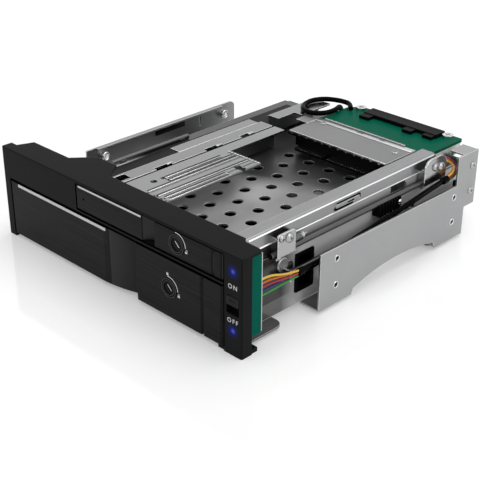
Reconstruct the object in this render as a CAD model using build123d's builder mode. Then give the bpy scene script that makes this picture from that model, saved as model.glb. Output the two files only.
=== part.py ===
from build123d import *
from math import pi, radians, tan
import os

# Hot swap drive cage for one 5.25 inch bay: a 2.5 inch bay above a 3.5 inch bay.
# Millimetres. X runs across the bezel, Y from the bezel to the rear, Z up.
# The origin is in the middle of the footprint, on the surface that the cage stands on.

os.makedirs("parts", exist_ok=True)

# Standard sizes that the cage is built around
drive_35_width = 101.6
drive_35_length = 147.0
drive_25_width = 69.85
drive_25_length = 100.2
chassis_width = 146.0
side_channel = 10.1
side_hole_spacing_y = 79.25
side_hole_spacing_z = 11.94
side_hole_radius = 1.5

# Clearances and fits
drive_side_gap = 0.08
door_gap = 0.3
running_fit = 0.05
snug_fit = 0.02
slide_gap = 0.3
proud = 0.2
bend_inset = 0.6

# Sheet metal
sheet = 0.8
bend_radius = 0.9
rib_height = 0.35

# Bezel
bezel_overhang = 1.0
bezel_height = 42.3
bezel_depth = 5.4
roof = 1.1
led_strip = 9.4
left_post = 5.0
upper_opening = 11.1
mid_bar_height = 2.5
door_foot = 1.8
bezel_chamfer = 0.5

# Doors and their handles
door_depth = 6.4
web_depth = 1.9
handle_depth = 4.0
hinge_inset = 1.7
hinge_pin_radius = 0.8
handle_pin_radius = 0.5
ear_height = 1.2
trim_depth = 0.8
grip_lip = 1.3
grip_reach = 8.0
ring_radius = 4.4
lock_radius = 3.3
lock_bore_gap = 0.05
keyway_width = 0.8
keyway_length = 3.4
keyway_depth = 2.6
keyway_angle = 45.0

# Switch and lights
led_radius = 1.3
led_low = 10.7
led_drop = 5.4
switch_drop = 12.4
switch_height = 7.6
switch_width = 6.6
knob_height = 3.4
knob_travel = 3.4
switch_recess = 3.0

# Cage
floor_low = 1.5
upper_bay_height = 11.6
roof_clearance = 0.2
rail_width = 6.94
flange_width = 6.6
band_height = 5.7
band_thickness = 0.6
lance_y = 71.0
lance_length = 15.0
divider_flange_width = 7.2
cover_strip_width = 19.1
cover_strip_rear = 68.7
vent_radius = 2.5
vent_pitch_x = 6.0
vent_pitch_y = 20.6
vent_columns = 10
vent_rows = 6

# Boards and sockets
board = 1.6
socket_tongue = 4.4
edge_connector_height = 1.9
host_port_reach = 3.4

# Eject rods
rod_radius = 1.4
rod_travel = 6.0
upper_rod_rise = 1.5
lower_rod_drop = 9.9
guide_block_front = 88.4
fin_count = 8
fin_pitch = 1.9

# Outer brackets
screw_head_radius = 1.9
bracket_low = 1.3
bracket_top = 26.9
side_hole_front_inset = 9.8
side_hole_rear_inset = 8.65
arch_inset = 21.0
side_hole_low = 10.05

# Wires
wire_radius = 0.45
sleeve_radius = 1.6
loop_radius = 1.2

# Places that follow from the sizes above
bezel_width = chassis_width + 2 * bezel_overhang
roof_low = bezel_height - roof
top_face = roof_low - roof_clearance
deck_low = top_face - upper_bay_height
mid_bar_high = roof_low - upper_opening
mid_bar_low = mid_bar_high - mid_bar_height
led_high = roof_low - led_drop
band_low = top_face - band_height
upper_rod_z = deck_low + upper_rod_rise
lower_rod_z = deck_low - lower_rod_drop
switch_low = mid_bar_high - switch_drop
bracket_ear_top = top_face - 0.6
plate_face = chassis_width / 2
right_wall = plate_face - side_channel
deck_top = deck_low + sheet
drive_front = door_depth + 0.7
drive_25_rear = drive_front + drive_25_length
drive_35_rear = drive_front + drive_35_length
backplane_front = drive_35_rear + 2.4
backplane_rear = backplane_front + board
overall_depth = backplane_rear + host_port_reach
deck_wide_rear = drive_25_rear + 23.3
deck_rear = drive_35_rear + 0.5
sheet_rear = drive_25_rear - 3.3
bracket_rear = drive_35_rear - 11.9
ear_rear = bracket_rear + 7.4
side_hole_front = bracket_rear - side_hole_rear_inset - side_hole_spacing_y
bracket_front = side_hole_front - side_hole_front_inset
arch_front = bracket_front + arch_inset
arch_rear = bracket_rear - arch_inset - bend_inset
arch_middle = (arch_front + arch_rear) / 2
rear_guide_start = ear_rear - 31.2
rear_guide_end = ear_rear - 15.4
guide_block_length = (fin_count - 0.5) * fin_pitch
face_y = (proud - overall_depth) / 2
half_width = bezel_width / 2
post_left = half_width - led_strip
hinge_x = post_left - door_gap - hinge_inset
hinge_y = hinge_inset
divider_wall = right_wall - sheet - drive_25_width - 2 * drive_side_gap - sheet
rail_face = right_wall - sheet - drive_35_width - 2 * drive_side_gap
rail_rear = drive_35_rear - 4.1
left_wall = rail_face - rail_width - sheet
divider_flange_left = divider_wall
divider_flange_right = divider_wall + divider_flange_width
cover_strip_right = divider_flange_right + cover_strip_width
upper_door_left = divider_wall - 12.7
middle_x = (left_wall + right_wall) / 2
board_low = top_face - 0.6 - board
board_top = board_low + board
flange_left_edge = right_wall - flange_width
strip_x = half_width - 4.7
board_x = strip_x + 1.6


def back(depth):
    """Y of a point that lies this far behind the bezel's face."""
    return face_y + depth


def block(low, high, mode=Mode.ADD):
    """A box between two corners, whose Y is counted from the bezel's face."""
    size = [b - a for a, b in zip(low, high)]
    with Locations((low[0], back(low[1]), low[2])):
        Box(*size, align=(Align.MIN, Align.MIN, Align.MIN), mode=mode)


def rod_along_y(x, z, radius, start, end, mode=Mode.ADD):
    """A round bar along Y between two depths."""
    with BuildSketch(Plane.XZ.offset(-back(end))) as profile:
        with Locations((x, z)):
            Circle(radius)
    extrude(profile.sketch, amount=end - start, mode=mode)


def rod_along_z(x, depth, radius, low, high, mode=Mode.ADD):
    """A round bar along Z between two heights."""
    with BuildSketch(Plane.XY.offset(low)) as profile:
        with Locations((x, back(depth))):
            Circle(radius)
    extrude(profile.sketch, amount=high - low, mode=mode)


def rod_along_x(depth, z, radius, start, end, mode=Mode.ADD):
    """A round bar along X between two places."""
    with BuildSketch(Plane.YZ.offset(start)) as profile:
        with Locations((back(depth), z)):
            Circle(radius)
    extrude(profile.sketch, amount=end - start, mode=mode)


def folded_sheet(points, start, end, thickness=sheet):
    """A sheet folded along a centreline of X and Z points, between two depths."""
    with BuildSketch(Plane.XZ.offset(-back(end))) as profile:
        with BuildLine():
            FilletPolyline(*points, radius=bend_radius)
        trace(line_width=thickness)
    extrude(profile.sketch, amount=end - start)


def keep(piece, name):
    """Labels a finished piece and writes its file."""
    piece.part.label = name
    export_step(piece.part, f"parts/{name}.step")


def corner_radii(points):
    """The largest easy radius at each corner of a cord's route."""
    radii = []
    for a, b, c in zip(points, points[1:], points[2:]):
        first = Vector(*b) - Vector(*a)
        second = Vector(*c) - Vector(*b)
        turn = radians(first.get_angle(second))
        radii.append(0.45 * min(first.length, second.length) / tan(turn / 2))
    return radii


def cord(points, radius):
    """A round cord along a route of straight runs joined by arcs."""
    placed = [(x, back(y), z) for x, y, z in points]
    with BuildLine():
        path = FilletPolyline(*placed, radius=corner_radii(placed))
    start = Plane(origin=path @ 0, z_dir=path % 0)
    with BuildSketch(start) as profile:
        Circle(radius)
    sweep(profile.sketch, path=path)
    return path.length


def keep_cord(piece, name, radius, lengths):
    """Writes a cord and prints its radius and how its volume compares with its length."""
    straight = pi * radius ** 2 * sum(lengths)
    print(f"{name}: radius {radius} mm, length {sum(lengths):.1f} mm, "
          f"volume ratio {piece.part.volume / straight:.4f}")
    keep(piece, name)


# Bezel

def bezel_front():
    """The front frame with its two door openings, open below the lower door."""
    with BuildSketch(Plane.XZ.offset(-back(bezel_depth))) as profile:
        with Locations((0, bezel_height / 2)):
            Rectangle(bezel_width, bezel_height)
        lower_left = -half_width + left_post
        with Locations((lower_left, 0)):
            Rectangle(post_left - lower_left, mid_bar_low, align=Align.MIN, mode=Mode.SUBTRACT)
        with Locations((upper_door_left, mid_bar_high)):
            Rectangle(post_left - upper_door_left, roof_low - mid_bar_high, align=Align.MIN,
                      mode=Mode.SUBTRACT)
    extrude(profile.sketch, amount=bezel_depth)


def bezel_roof():
    """The lip that reaches back over the cage, with its stepped rear edge."""
    outline = [
        (-half_width, bezel_depth - 1), (-half_width, bezel_depth),
        (-half_width + 3.9, bezel_depth), (-half_width + 6.7, 12.7), (left_wall + 4.7, 12.8),
        (left_wall + 9.3, 18.1), (left_wall + 13.8, 21.9), (divider_wall - 13.1, 21.9),
        (divider_wall - 7.0, 13.2), (post_left - 1.6, 13.2), (post_left + 0.1, 11.2),
        (half_width - 1.6, 11.0), (half_width, 10.0),
        (half_width, bezel_depth - 1),
    ]
    with BuildSketch(Plane.XY.offset(roof_low)) as profile:
        with BuildLine():
            Polyline(*[(x, back(y)) for x, y in outline], close=True)
        make_face()
    extrude(profile.sketch, amount=roof)


with BuildPart() as bezel:
    bezel_front()
    bezel_roof()
    front_rims = bezel.edges().filter_by(Axis.X).group_by(Axis.Z)[-1].sort_by(Axis.Y)[:1]
    front_rims += bezel.edges().filter_by(Axis.Z).group_by(Axis.X)[-1].sort_by(Axis.Y)[:1]
    front_rims += bezel.edges().filter_by(Axis.Z).group_by(Axis.X)[0].sort_by(Axis.Y)[:1]
    chamfer(front_rims, bezel_chamfer)
    # blank wall behind the door's free end, and the foot and lug that carry the hinge pin
    block((-half_width, bezel_depth - 0.2, 0), (-half_width + left_post, 9.0, mid_bar_high))
    block((-half_width + left_post, door_depth + slide_gap, floor_low),
          (left_wall - slide_gap, 9.0, mid_bar_high))
    block((-half_width + left_post - 1, door_depth + slide_gap, mid_bar_low + 1),
          (left_wall, 9.0, mid_bar_high))
    block((left_wall - 1, bezel_depth - 0.2, mid_bar_low),
          (divider_wall, door_depth + slide_gap, mid_bar_high))
    block((hinge_x - 1.6, 0.6, 0), (post_left + 1, bezel_depth, door_foot - door_gap))
    # lug beside the front board, and the corner clip at the foot of the strip
    block((strip_x - 2.9, bezel_depth - 0.2, mid_bar_high - 1.1), (board_x, 9.0, mid_bar_high + 2.4))
    block((strip_x - 2.9, bezel_depth - 0.2, 7.4), (board_x, 7.6, 9.0))
    block((half_width - 3.4, bezel_depth - 0.2, 0), (half_width - 0.4, 8.8, 1.8))
    # ribs that clip to the cage on the blank side
    for rib_x in (-half_width + 8.0, left_wall - 10.6):
        block((rib_x, 8.8, 6.0), (rib_x + 1.2, 13.5, 24.0))
    # light holes, switch recess and the slot for its stem
    for led_z in (led_low, led_high):
        rod_along_y(strip_x, led_z, led_radius, -1, bezel_depth + 1, mode=Mode.SUBTRACT)
    block((strip_x - switch_width / 2, -1, switch_low),
          (strip_x + switch_width / 2, switch_recess, switch_low + switch_height),
          mode=Mode.SUBTRACT)
    block((strip_x - 1.5, 0, switch_low + 0.7), (strip_x + 1.5, bezel_depth + 1, switch_low + 6.9),
          mode=Mode.SUBTRACT)
    rod_along_z(hinge_x, hinge_y, hinge_pin_radius + snug_fit, -1, bezel_height - 0.4,
                mode=Mode.SUBTRACT)
keep(bezel, "bezel")

with BuildPart() as hinge_pin:
    rod_along_z(hinge_x, hinge_y, hinge_pin_radius, 0.3, bezel_height - 0.6)
keep(hinge_pin, "door_hinge_pin")

with BuildPart() as led_lenses:
    for led_z in (led_low, led_high):
        rod_along_y(strip_x, led_z, led_radius - snug_fit, 0.15, bezel_depth)
        block((strip_x - led_radius, bezel_depth, led_z - 1.2), (board_x, bezel_depth + 2, led_z + 1.2))
keep(led_lenses, "led_lenses")


# Doors

def door_panel(left, bottom, top, recess_left, recess_bow, handle_left, pivot_x):
    """The hinged front: blank panel, finger recess, web behind the handle and hinge end."""
    web_front = door_depth - web_depth
    with BuildSketch(Plane.XY.offset(bottom)) as profile:
        with BuildLine():
            Line((left, back(0)), (recess_left, back(0)))
            ThreePointArc((recess_left, back(0)),
                          (recess_left + recess_bow[0], back(recess_bow[1])),
                          (handle_left, back(web_front)))
            Line((handle_left, back(web_front)), (pivot_x + hinge_inset + door_gap, back(web_front)))
            Line((pivot_x + hinge_inset + door_gap, back(web_front)),
                 (pivot_x + hinge_inset + door_gap, back(0)))
            Line((pivot_x + hinge_inset + door_gap, back(0)), (hinge_x, back(0)))
            ThreePointArc((hinge_x, back(0)), (hinge_x + hinge_inset, back(hinge_y)),
                          (hinge_x, back(2 * hinge_inset)))
            Line((hinge_x, back(2 * hinge_inset)), (hinge_x, back(door_depth)))
            Line((hinge_x, back(door_depth)), (left, back(door_depth)))
            Line((left, back(door_depth)), (left, back(0)))
        make_face()
    extrude(profile.sketch, amount=top - bottom)
    for ear_low in (bottom, top - ear_height):
        block((pivot_x - 1.1, hinge_y, ear_low), (pivot_x + 1.1, web_front, ear_low + ear_height))
        rod_along_z(pivot_x, hinge_y, 1.1, ear_low, ear_low + ear_height)
    rod_along_z(hinge_x, hinge_y, hinge_pin_radius + running_fit, bottom - 1, top + 1,
                mode=Mode.SUBTRACT)
    rod_along_z(pivot_x, hinge_y, handle_pin_radius + snug_fit, bottom - 1, top + 1,
                mode=Mode.SUBTRACT)


def door_handle(bottom, top, handle_left, pivot_x, lock_x, lock_z):
    """The lock panel, which pivots at its hinge end and is pulled at its lip."""
    skin = 0.5
    with BuildSketch(Plane.XY.offset(bottom)) as profile:
        with BuildLine():
            Line((handle_left, back(0)), (pivot_x, back(0)))
            ThreePointArc((pivot_x, back(0)), (pivot_x + hinge_inset, back(hinge_y)),
                          (pivot_x, back(2 * hinge_inset)))
            Line((pivot_x, back(2 * hinge_inset)), (pivot_x, back(handle_depth)))
            Line((pivot_x, back(handle_depth)), (handle_left + grip_reach, back(handle_depth)))
            ThreePointArc((handle_left + grip_reach, back(handle_depth)),
                          (handle_left + 0.5 * grip_reach, back(grip_lip + 0.7)),
                          (handle_left, back(grip_lip)))
            Line((handle_left, back(grip_lip)), (handle_left, back(0)))
        make_face()
    extrude(profile.sketch, amount=top - bottom)
    for ear_low in (bottom - 1, top - ear_height - slide_gap):
        block((pivot_x - 1.1 - slide_gap, skin, ear_low),
              (pivot_x + hinge_inset + 1, door_depth, ear_low + 1 + ear_height + slide_gap),
              mode=Mode.SUBTRACT)
    rod_along_z(pivot_x, hinge_y, handle_pin_radius + running_fit, bottom - 1, top + 1,
                mode=Mode.SUBTRACT)
    rod_along_y(lock_x, lock_z, lock_radius + lock_bore_gap, -1, door_depth, mode=Mode.SUBTRACT)
    rod_along_y(lock_x, lock_z, ring_radius, -1, 0.6, mode=Mode.SUBTRACT)


def lock_cylinder(lock_x, lock_z):
    """The turning lock core with its keyway."""
    rod_along_y(lock_x, lock_z, lock_radius - 0.5, 0.1, handle_depth - 0.1)
    rod_along_y(lock_x, lock_z, lock_radius, 0.9, handle_depth - 0.1)
    with BuildSketch(Plane.XZ.offset(-back(keyway_depth))) as keyway:
        with Locations((lock_x, lock_z)):
            Rectangle(keyway_width, keyway_length, rotation=keyway_angle)
    extrude(keyway.sketch, amount=keyway_depth + 0.5, mode=Mode.SUBTRACT)


def lock_ring(lock_x, lock_z):
    """The collar around the lock core."""
    rod_along_y(lock_x, lock_z, ring_radius - snug_fit, -proud, 0.6)
    rod_along_y(lock_x, lock_z, lock_radius - 0.5 + lock_bore_gap, -1, 1, mode=Mode.SUBTRACT)


def make_door(prefix, left, bottom, top, handle_width, recess_width, recess_bow, pivot_inset,
              lock_inset, lock_z, trim_reach, trim_height):
    """One door with everything that rides on it, placed from the hinge."""
    handle_left = hinge_x - handle_width
    recess_left = handle_left - recess_width
    pivot_x = hinge_x - pivot_inset
    lock_x = hinge_x - lock_inset
    trim_low = (left + 5.0 if prefix == "lower" else left + 1.2, 0, top - trim_height)
    trim_high = (recess_left + trim_reach, trim_depth, top - 0.1)
    with BuildPart() as panel:
        door_panel(left, bottom, top, recess_left, recess_bow, handle_left, pivot_x)
        block(trim_low, trim_high, mode=Mode.SUBTRACT)
        if prefix == "upper":
            rod_along_y(left + 4.4, bottom + 5.2, 0.55, -1, 3.5, mode=Mode.SUBTRACT)
    keep(panel, f"{prefix}_door_panel")
    with BuildPart() as trim:
        block((trim_low[0], -0.15, trim_low[2]), trim_high)
    keep(trim, f"{prefix}_door_trim")
    with BuildPart() as handle:
        door_handle(bottom, top, handle_left + door_gap, pivot_x, lock_x, lock_z)
    keep(handle, f"{prefix}_door_handle")
    with BuildPart() as pin:
        rod_along_z(pivot_x, hinge_y, handle_pin_radius, bottom + 0.1, top - 0.1)
    keep(pin, f"{prefix}_handle_pin")
    with BuildPart() as ring:
        lock_ring(lock_x, lock_z)
    keep(ring, f"{prefix}_lock_ring")
    with BuildPart() as core:
        lock_cylinder(lock_x, lock_z)
    keep(core, f"{prefix}_lock_cylinder")


make_door("lower", -half_width + left_post + door_gap, door_foot, mid_bar_low - door_gap,
          handle_width=47.7, recess_width=19.9, recess_bow=(10.9, 1.7), pivot_inset=10.8,
          lock_inset=28.2, lock_z=14.9, trim_reach=1.5, trim_height=1.4)
make_door("upper", upper_door_left + door_gap, mid_bar_high + door_gap, roof_low - door_gap,
          handle_width=36.0, recess_width=7.2, recess_bow=(2.6, 2.8), pivot_inset=4.8,
          lock_inset=23.2, lock_z=roof_low - 5.5, trim_reach=-0.2, trim_height=0.9)


# Switch

knob_low = switch_low + switch_height - slide_gap - knob_height
with BuildPart() as switch_knob:
    block((strip_x - switch_width / 2 + slide_gap, -proud, knob_low),
          (strip_x + switch_width / 2 - slide_gap, switch_recess - slide_gap,
           knob_low + knob_height))
    for groove in (0.9, 1.7, 2.5):
        block((strip_x - 2.2, -0.5, knob_low + groove - 0.15),
              (strip_x + 2.2, 0.1, knob_low + groove + 0.15), mode=Mode.SUBTRACT)
    block((strip_x - 1.0, switch_recess - slide_gap, knob_low + 0.6),
          (strip_x + 1.0, bezel_depth + 1.4, knob_low + 2.6))
keep(switch_knob, "switch_knob")

with BuildPart() as switch_body:
    block((strip_x - 3.3, bezel_depth, switch_low - 1), (board_x, bezel_depth + 4.4, switch_low + 9))
    block((strip_x - 1.4, 0, knob_low + 0.3 - knob_travel),
          (board_x - 0.3, bezel_depth + 1.8, knob_low + 2.9), mode=Mode.SUBTRACT)
keep(switch_body, "switch_body")

front_board_low = 6.5
with BuildPart() as front_board:
    with BuildSketch(Plane.YZ.offset(board_x)) as board_outline:
        with Locations((back(5.6), front_board_low)):
            Rectangle(6.6, top_face - 0.1 - front_board_low, align=Align.MIN)
        fillet(board_outline.vertices().sort_by(lambda v: v.X + v.Y)[-1], 2.2)
    extrude(amount=board)
keep(front_board, "front_board")

with BuildPart() as front_wire_socket:
    block((board_x - 3.3, bezel_depth + 2.6, switch_low + 10.3),
          (board_x, bezel_depth + 6.8, switch_low + 11.2))
    block((board_x - 3.3, bezel_depth + 4.7, switch_low + 0.5),
          (board_x, bezel_depth + 6.8, switch_low + 10.3))
keep(front_wire_socket, "front_wire_socket")


# Cage sheets

with BuildPart() as lower_tray:
    folded_sheet([(left_wall + sheet / 2, deck_low), (left_wall + sheet / 2, floor_low + sheet / 2),
                  (right_wall - sheet / 2, floor_low + sheet / 2),
                  (right_wall - sheet / 2, deck_low)], drive_front, backplane_front)
    # tongue that ties the front of the floor to the bezel's foot
    with BuildSketch(Plane.XY.offset(floor_low)):
        with Locations((right_wall - 2, back(drive_front + 0.5))):
            Rectangle(9.0, 20.0, align=Align.MIN)
    extrude(amount=sheet)
    tongue_tip = lower_tray.edges().filter_by(Axis.Z).sort_by(Axis.X)[-2:].sort_by(Axis.Y)[-1]
    fillet(tongue_tip, 4.0)
    # wire opening and the slot of the lower eject rod
    block((right_wall - 2, 40.7, 7.5), (right_wall + 1, 51.7, 25.0), mode=Mode.SUBTRACT)
    block((right_wall - 2, drive_35_rear - rod_travel - 1, lower_rod_z - 2.9),
          (right_wall + 1, backplane_front + 1, lower_rod_z + 2.9), mode=Mode.SUBTRACT)
    # pressed ribs that stiffen the floor
    for rib_y in (30.0, 62.0, 94.0, 126.0):
        with BuildSketch(Plane.XY.offset(floor_low + sheet)):
            with Locations((middle_x + 3.2, back(rib_y))):
                SlotOverall(62.0, 4.0)
        extrude(amount=rib_height)
    # finger notch at the front edge of the left wall
    block((left_wall - 1, drive_front - 1, 12.0), (left_wall + 2, drive_front + 4, 20.0),
          mode=Mode.SUBTRACT)
keep(lower_tray, "lower_tray")


def vent_places():
    """Staggered places of the round vents in the deck."""
    places = []
    for column in range(vent_columns):
        first = 20.3 if column % 2 == 0 else 20.3 + vent_pitch_y / 2
        for row in range(vent_rows):
            places.append((divider_wall + 11.5 + column * vent_pitch_x,
                           back(first + row * vent_pitch_y)))
    return places


with BuildPart() as deck:
    folded_sheet([(left_wall, deck_low + sheet / 2), (right_wall - sheet / 2, deck_low + sheet / 2),
                  (right_wall - sheet / 2, top_face - sheet / 2),
                  (flange_left_edge, top_face - sheet / 2)], drive_front, deck_wide_rear)
    block((left_wall, deck_wide_rear, deck_low), (right_wall - 1.0, deck_rear, deck_top))
    # doubled upper band of the side wall, with a stamped lance in it
    block((right_wall, 13.5, band_low),
          (right_wall + band_thickness, deck_wide_rear, top_face - 0.3))
    with BuildSketch(Plane.YZ.offset(right_wall + band_thickness)):
        with Locations((back(lance_y), top_face - 3.0)):
            SlotOverall(lance_length, 2.4)
    extrude(amount=0.5)
    lance_end = lance_y + lance_length / 2
    block((right_wall - 1.5, lance_y - 7.0, top_face - 2.1),
          (right_wall + 2, lance_end + 0.3, top_face - 1.5), mode=Mode.SUBTRACT)
    block((right_wall - 1.5, lance_y - 8.4, top_face - 4.6),
          (right_wall + 2, lance_y + 4.0, top_face - 3.9), mode=Mode.SUBTRACT)
    block((right_wall - 1.5, lance_end - 0.5, top_face - 3.4),
          (right_wall + 2, lance_end + 0.3, top_face - 1.6), mode=Mode.SUBTRACT)
    # slot of the upper eject rod
    block((right_wall - 2, drive_25_rear - rod_travel - 1, deck_top + 0.7),
          (right_wall + 2, drive_25_rear + 3, band_low - 0.2), mode=Mode.SUBTRACT)
    with BuildSketch(Plane.XY.offset(deck_low - 1)):
        with Locations(*vent_places()):
            Circle(vent_radius)
    extrude(amount=sheet + 2, mode=Mode.SUBTRACT)
    # way up for the loop cable
    block((divider_wall + 3.0, drive_35_rear - 7.4, deck_low - 1),
          (divider_wall + 6.6, drive_35_rear - 4.2, deck_top + 0.1), mode=Mode.SUBTRACT)
keep(deck, "deck")

divider_x = divider_wall + sheet / 2
with BuildPart() as bay_divider:
    folded_sheet([(divider_flange_left - 4.0, deck_top + sheet / 2),
                  (divider_x, deck_top + sheet / 2), (divider_x, top_face - sheet / 2),
                  (divider_flange_right, top_face - sheet / 2)], drive_front, sheet_rear)
    # wide ribbed strip over the front half of the bay
    with BuildSketch(Plane.XY.offset(top_face - sheet)):
        with Locations((divider_flange_right - 1, back(drive_front))):
            Rectangle(cover_strip_right - divider_flange_right + 1, cover_strip_rear - drive_front,
                      align=Align.MIN)
    extrude(amount=sheet)
    for rib_inset in (12.2, 8.2, 4.2, 1.2):
        with BuildSketch(Plane.XY.offset(top_face)):
            with Locations((cover_strip_right - rib_inset, back(41.3))):
                SlotOverall(52.0, 1.6, rotation=90)
        extrude(amount=rib_height)
    # window near the strip's rear corner
    with BuildSketch(Plane.XY.offset(top_face - 2)):
        with Locations((cover_strip_right - 3.0, back(58.5))):
            SlotOverall(6.4, 3.4)
    extrude(amount=4, mode=Mode.SUBTRACT)
    # screw hole, square notch and slot beside the seam
    seam_x = divider_flange_right + 0.6
    rod_along_z(seam_x, 24.3, 1.5, top_face - 2, top_face + 2, mode=Mode.SUBTRACT)
    block((seam_x - 0.9, 28.2, top_face - 2), (seam_x + 1.1, 30.2, top_face + 2),
          mode=Mode.SUBTRACT)
    with BuildSketch(Plane.XY.offset(top_face - 2)):
        with Locations((seam_x - 0.1, back(46.0))):
            SlotOverall(7.0, 1.8, rotation=90)
    extrude(amount=4, mode=Mode.SUBTRACT)
keep(bay_divider, "bay_divider")

with BuildPart() as side_top_plate:
    plate_left = divider_flange_left - 8.2
    folded_sheet([(divider_flange_left - slide_gap, top_face - sheet / 2),
                  (plate_left, top_face - sheet / 2), (plate_left, deck_top + sheet / 2),
                  (plate_left - 4.6, deck_top + sheet / 2)], drive_front, sheet_rear)
    block((plate_left - 5.4, 52.8, top_face - sheet), (plate_left + 0.4, sheet_rear - 2.0, top_face))
    block((plate_left + 1.5, 15.0, top_face - 2), (plate_left + 6.3, 20.5, top_face + 1),
          mode=Mode.SUBTRACT)
    for notch_y, length in ((33.0, 9.0), (62.0, 10.0), (84.0, 8.0)):
        block((divider_flange_left - 2.2, notch_y, top_face - 2),
              (divider_flange_left + 1, notch_y + length, top_face + 1), mode=Mode.SUBTRACT)
keep(side_top_plate, "side_top_plate")

with BuildPart() as rear_side_plate:
    plate_left = divider_wall - 11.4
    folded_sheet([(plate_left + 6.7, top_face - sheet / 2), (plate_left, top_face - sheet / 2),
                  (plate_left, deck_top + sheet / 2), (plate_left - 5.9, deck_top + sheet / 2)],
                 drive_25_rear + 5.5, drive_35_rear - 9.3)
    block((plate_left + 6.1, drive_25_rear + 16.7, top_face - sheet),
          (plate_left + 11.1, drive_35_rear - 9.3, top_face))
keep(rear_side_plate, "rear_side_plate")

with BuildPart() as insulation_sheet:
    block((left_wall + 5.4, 14.0, deck_top), (left_wall + 20.4, deck_rear - 4.6, deck_top + 0.3))
keep(insulation_sheet, "insulation_sheet")

with BuildPart() as stiffener_rod:
    stiffener_x = left_wall + 2.4
    rod_along_y(stiffener_x, deck_top + 1.1, 1.1, 38.0, 84.0)
    for clip_y in (42.0, 78.0):
        block((stiffener_x - 1.4, clip_y, deck_top), (stiffener_x + 1.4, clip_y + 3, deck_top + 1.2))
keep(stiffener_rod, "stiffener_rod")

with BuildPart() as drive_rails:
    rail_low = floor_low + sheet + bend_inset
    block((left_wall + sheet, 12.0, rail_low), (rail_face, rail_rear, 14.0))
    block((left_wall + sheet + bend_inset, 12.0, floor_low + sheet), (rail_face + 3, rail_rear, rail_low))
    block((right_wall - sheet - 3.6, 30.0, floor_low + sheet),
          (right_wall - sheet - bend_inset, rail_rear, rail_low))
keep(drive_rails, "drive_rails")


# Upper board and what it carries

board_left = divider_flange_right + 0.5
board_right = right_wall - 1.9
board_rear = drive_35_rear - 0.1
screw_places = ((board_left + 6.8, board_rear - 3.7), (board_right - 5.4, board_rear - 3.4))
with BuildPart() as upper_board:
    outline = [
        (board_left, drive_25_rear - 1.1), (flange_left_edge - 0.4, drive_25_rear - 1.1),
        (flange_left_edge - 0.4, deck_wide_rear + 0.4), (board_right, deck_wide_rear + 0.4),
        (board_right, board_rear), (board_left + 4.2, board_rear), (board_left, board_rear - 6.0),
    ]
    with BuildSketch(Plane.XY.offset(board_low)):
        with BuildLine():
            Polyline(*[(x, back(y)) for x, y in outline], close=True)
        make_face()
    extrude(amount=board)
    for screw_x, screw_y in screw_places:
        rod_along_z(screw_x, screw_y, 1.5, board_low - 1, board_top + 1, mode=Mode.SUBTRACT)
keep(upper_board, "upper_board")

with BuildPart() as board_posts:
    for screw_x, screw_y in screw_places:
        with BuildSketch(Plane.XY.offset(deck_top)):
            with Locations((screw_x, back(screw_y))):
                RegularPolygon(2.9, 6)
        extrude(amount=board_low - deck_top)
        rod_along_z(screw_x, screw_y, 1.25 + snug_fit, board_low - 6, board_low + 1,
                    mode=Mode.SUBTRACT)
keep(board_posts, "board_posts")

with BuildPart() as board_screws:
    for screw_x, screw_y in screw_places:
        rod_along_z(screw_x, screw_y, 1.25, board_low - 5, board_top)
        rod_along_z(screw_x, screw_y, 2.5, board_top, board_top + 1.5)
        for reach_x, reach_y in ((1.6, 0.3), (0.3, 1.6)):
            block((screw_x - reach_x, screw_y - reach_y, board_top + 0.9),
                  (screw_x + reach_x, screw_y + reach_y, board_top + 2), mode=Mode.SUBTRACT)
keep(board_screws, "board_screws")

with BuildPart() as cross_plate:
    plate_left = board_left + 1.3
    plate_top = board_top + sheet
    plate_rear = drive_25_rear + 19.3
    block((plate_left, drive_25_rear - 1.9, board_top), (flange_left_edge - 0.6, plate_rear, plate_top))
    block((plate_left + 3.7, plate_rear - 0.6, plate_top),
          (flange_left_edge - 6.3, plate_rear, plate_top + 0.9))
    block((plate_left - 6.3, plate_rear - 9.6, top_face),
          (plate_left + 0.6, plate_rear - 2.6, top_face + 0.6))
    block((plate_left, plate_rear - 9.6, plate_top),
          (plate_left + 0.6, plate_rear - 2.6, top_face + 0.6))
    for dimple_x, dimple_y in ((plate_left + 5.7, plate_rear - 4.0),
                               (flange_left_edge - 5.8, plate_rear - 8.1)):
        rod_along_z(dimple_x, dimple_y, 1.3, plate_top, plate_top + 0.4)
keep(cross_plate, "cross_plate")

with BuildPart() as upper_socket:
    socket_front = drive_25_rear + 0.3
    socket_rear = drive_25_rear + 6.3
    socket_left = divider_wall + 12.7
    block((socket_left, socket_front, deck_top + 1.0), (socket_left + 46.0, socket_rear, board_low))
    for ear_x in (socket_left - 3.0, socket_left + 46.0):
        block((ear_x, socket_front + 1.5, deck_top + 3.0), (ear_x + 3.0, socket_rear, board_low))
    block((socket_left + 2.0, drive_25_rear - socket_tongue, deck_top + 3.4),
          (socket_left + 43.6, socket_front, deck_top + 4.6))
    block((socket_left + 18.5, drive_25_rear - socket_tongue - 1, deck_top + 2.8),
          (socket_left + 20.0, socket_front, deck_top + 5.2), mode=Mode.SUBTRACT)
keep(upper_socket, "upper_socket")

with BuildPart() as edge_connector:
    connector_left = board_left + 12.5
    connector_front = board_rear - 8.8
    block((connector_left, connector_front, board_top),
          (board_right - 8.2, board_rear - 1.8, board_top + edge_connector_height))
    for bump_x, width, reach in ((0.5, 5.5, 4.2), (25.3, 5.0, 4.0), (35.9, 5.0, 3.0)):
        block((connector_left + bump_x, connector_front - reach, board_top),
              (connector_left + bump_x + width, connector_front + 0.2,
               board_top + edge_connector_height - 0.3))
keep(edge_connector, "edge_connector")

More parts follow.
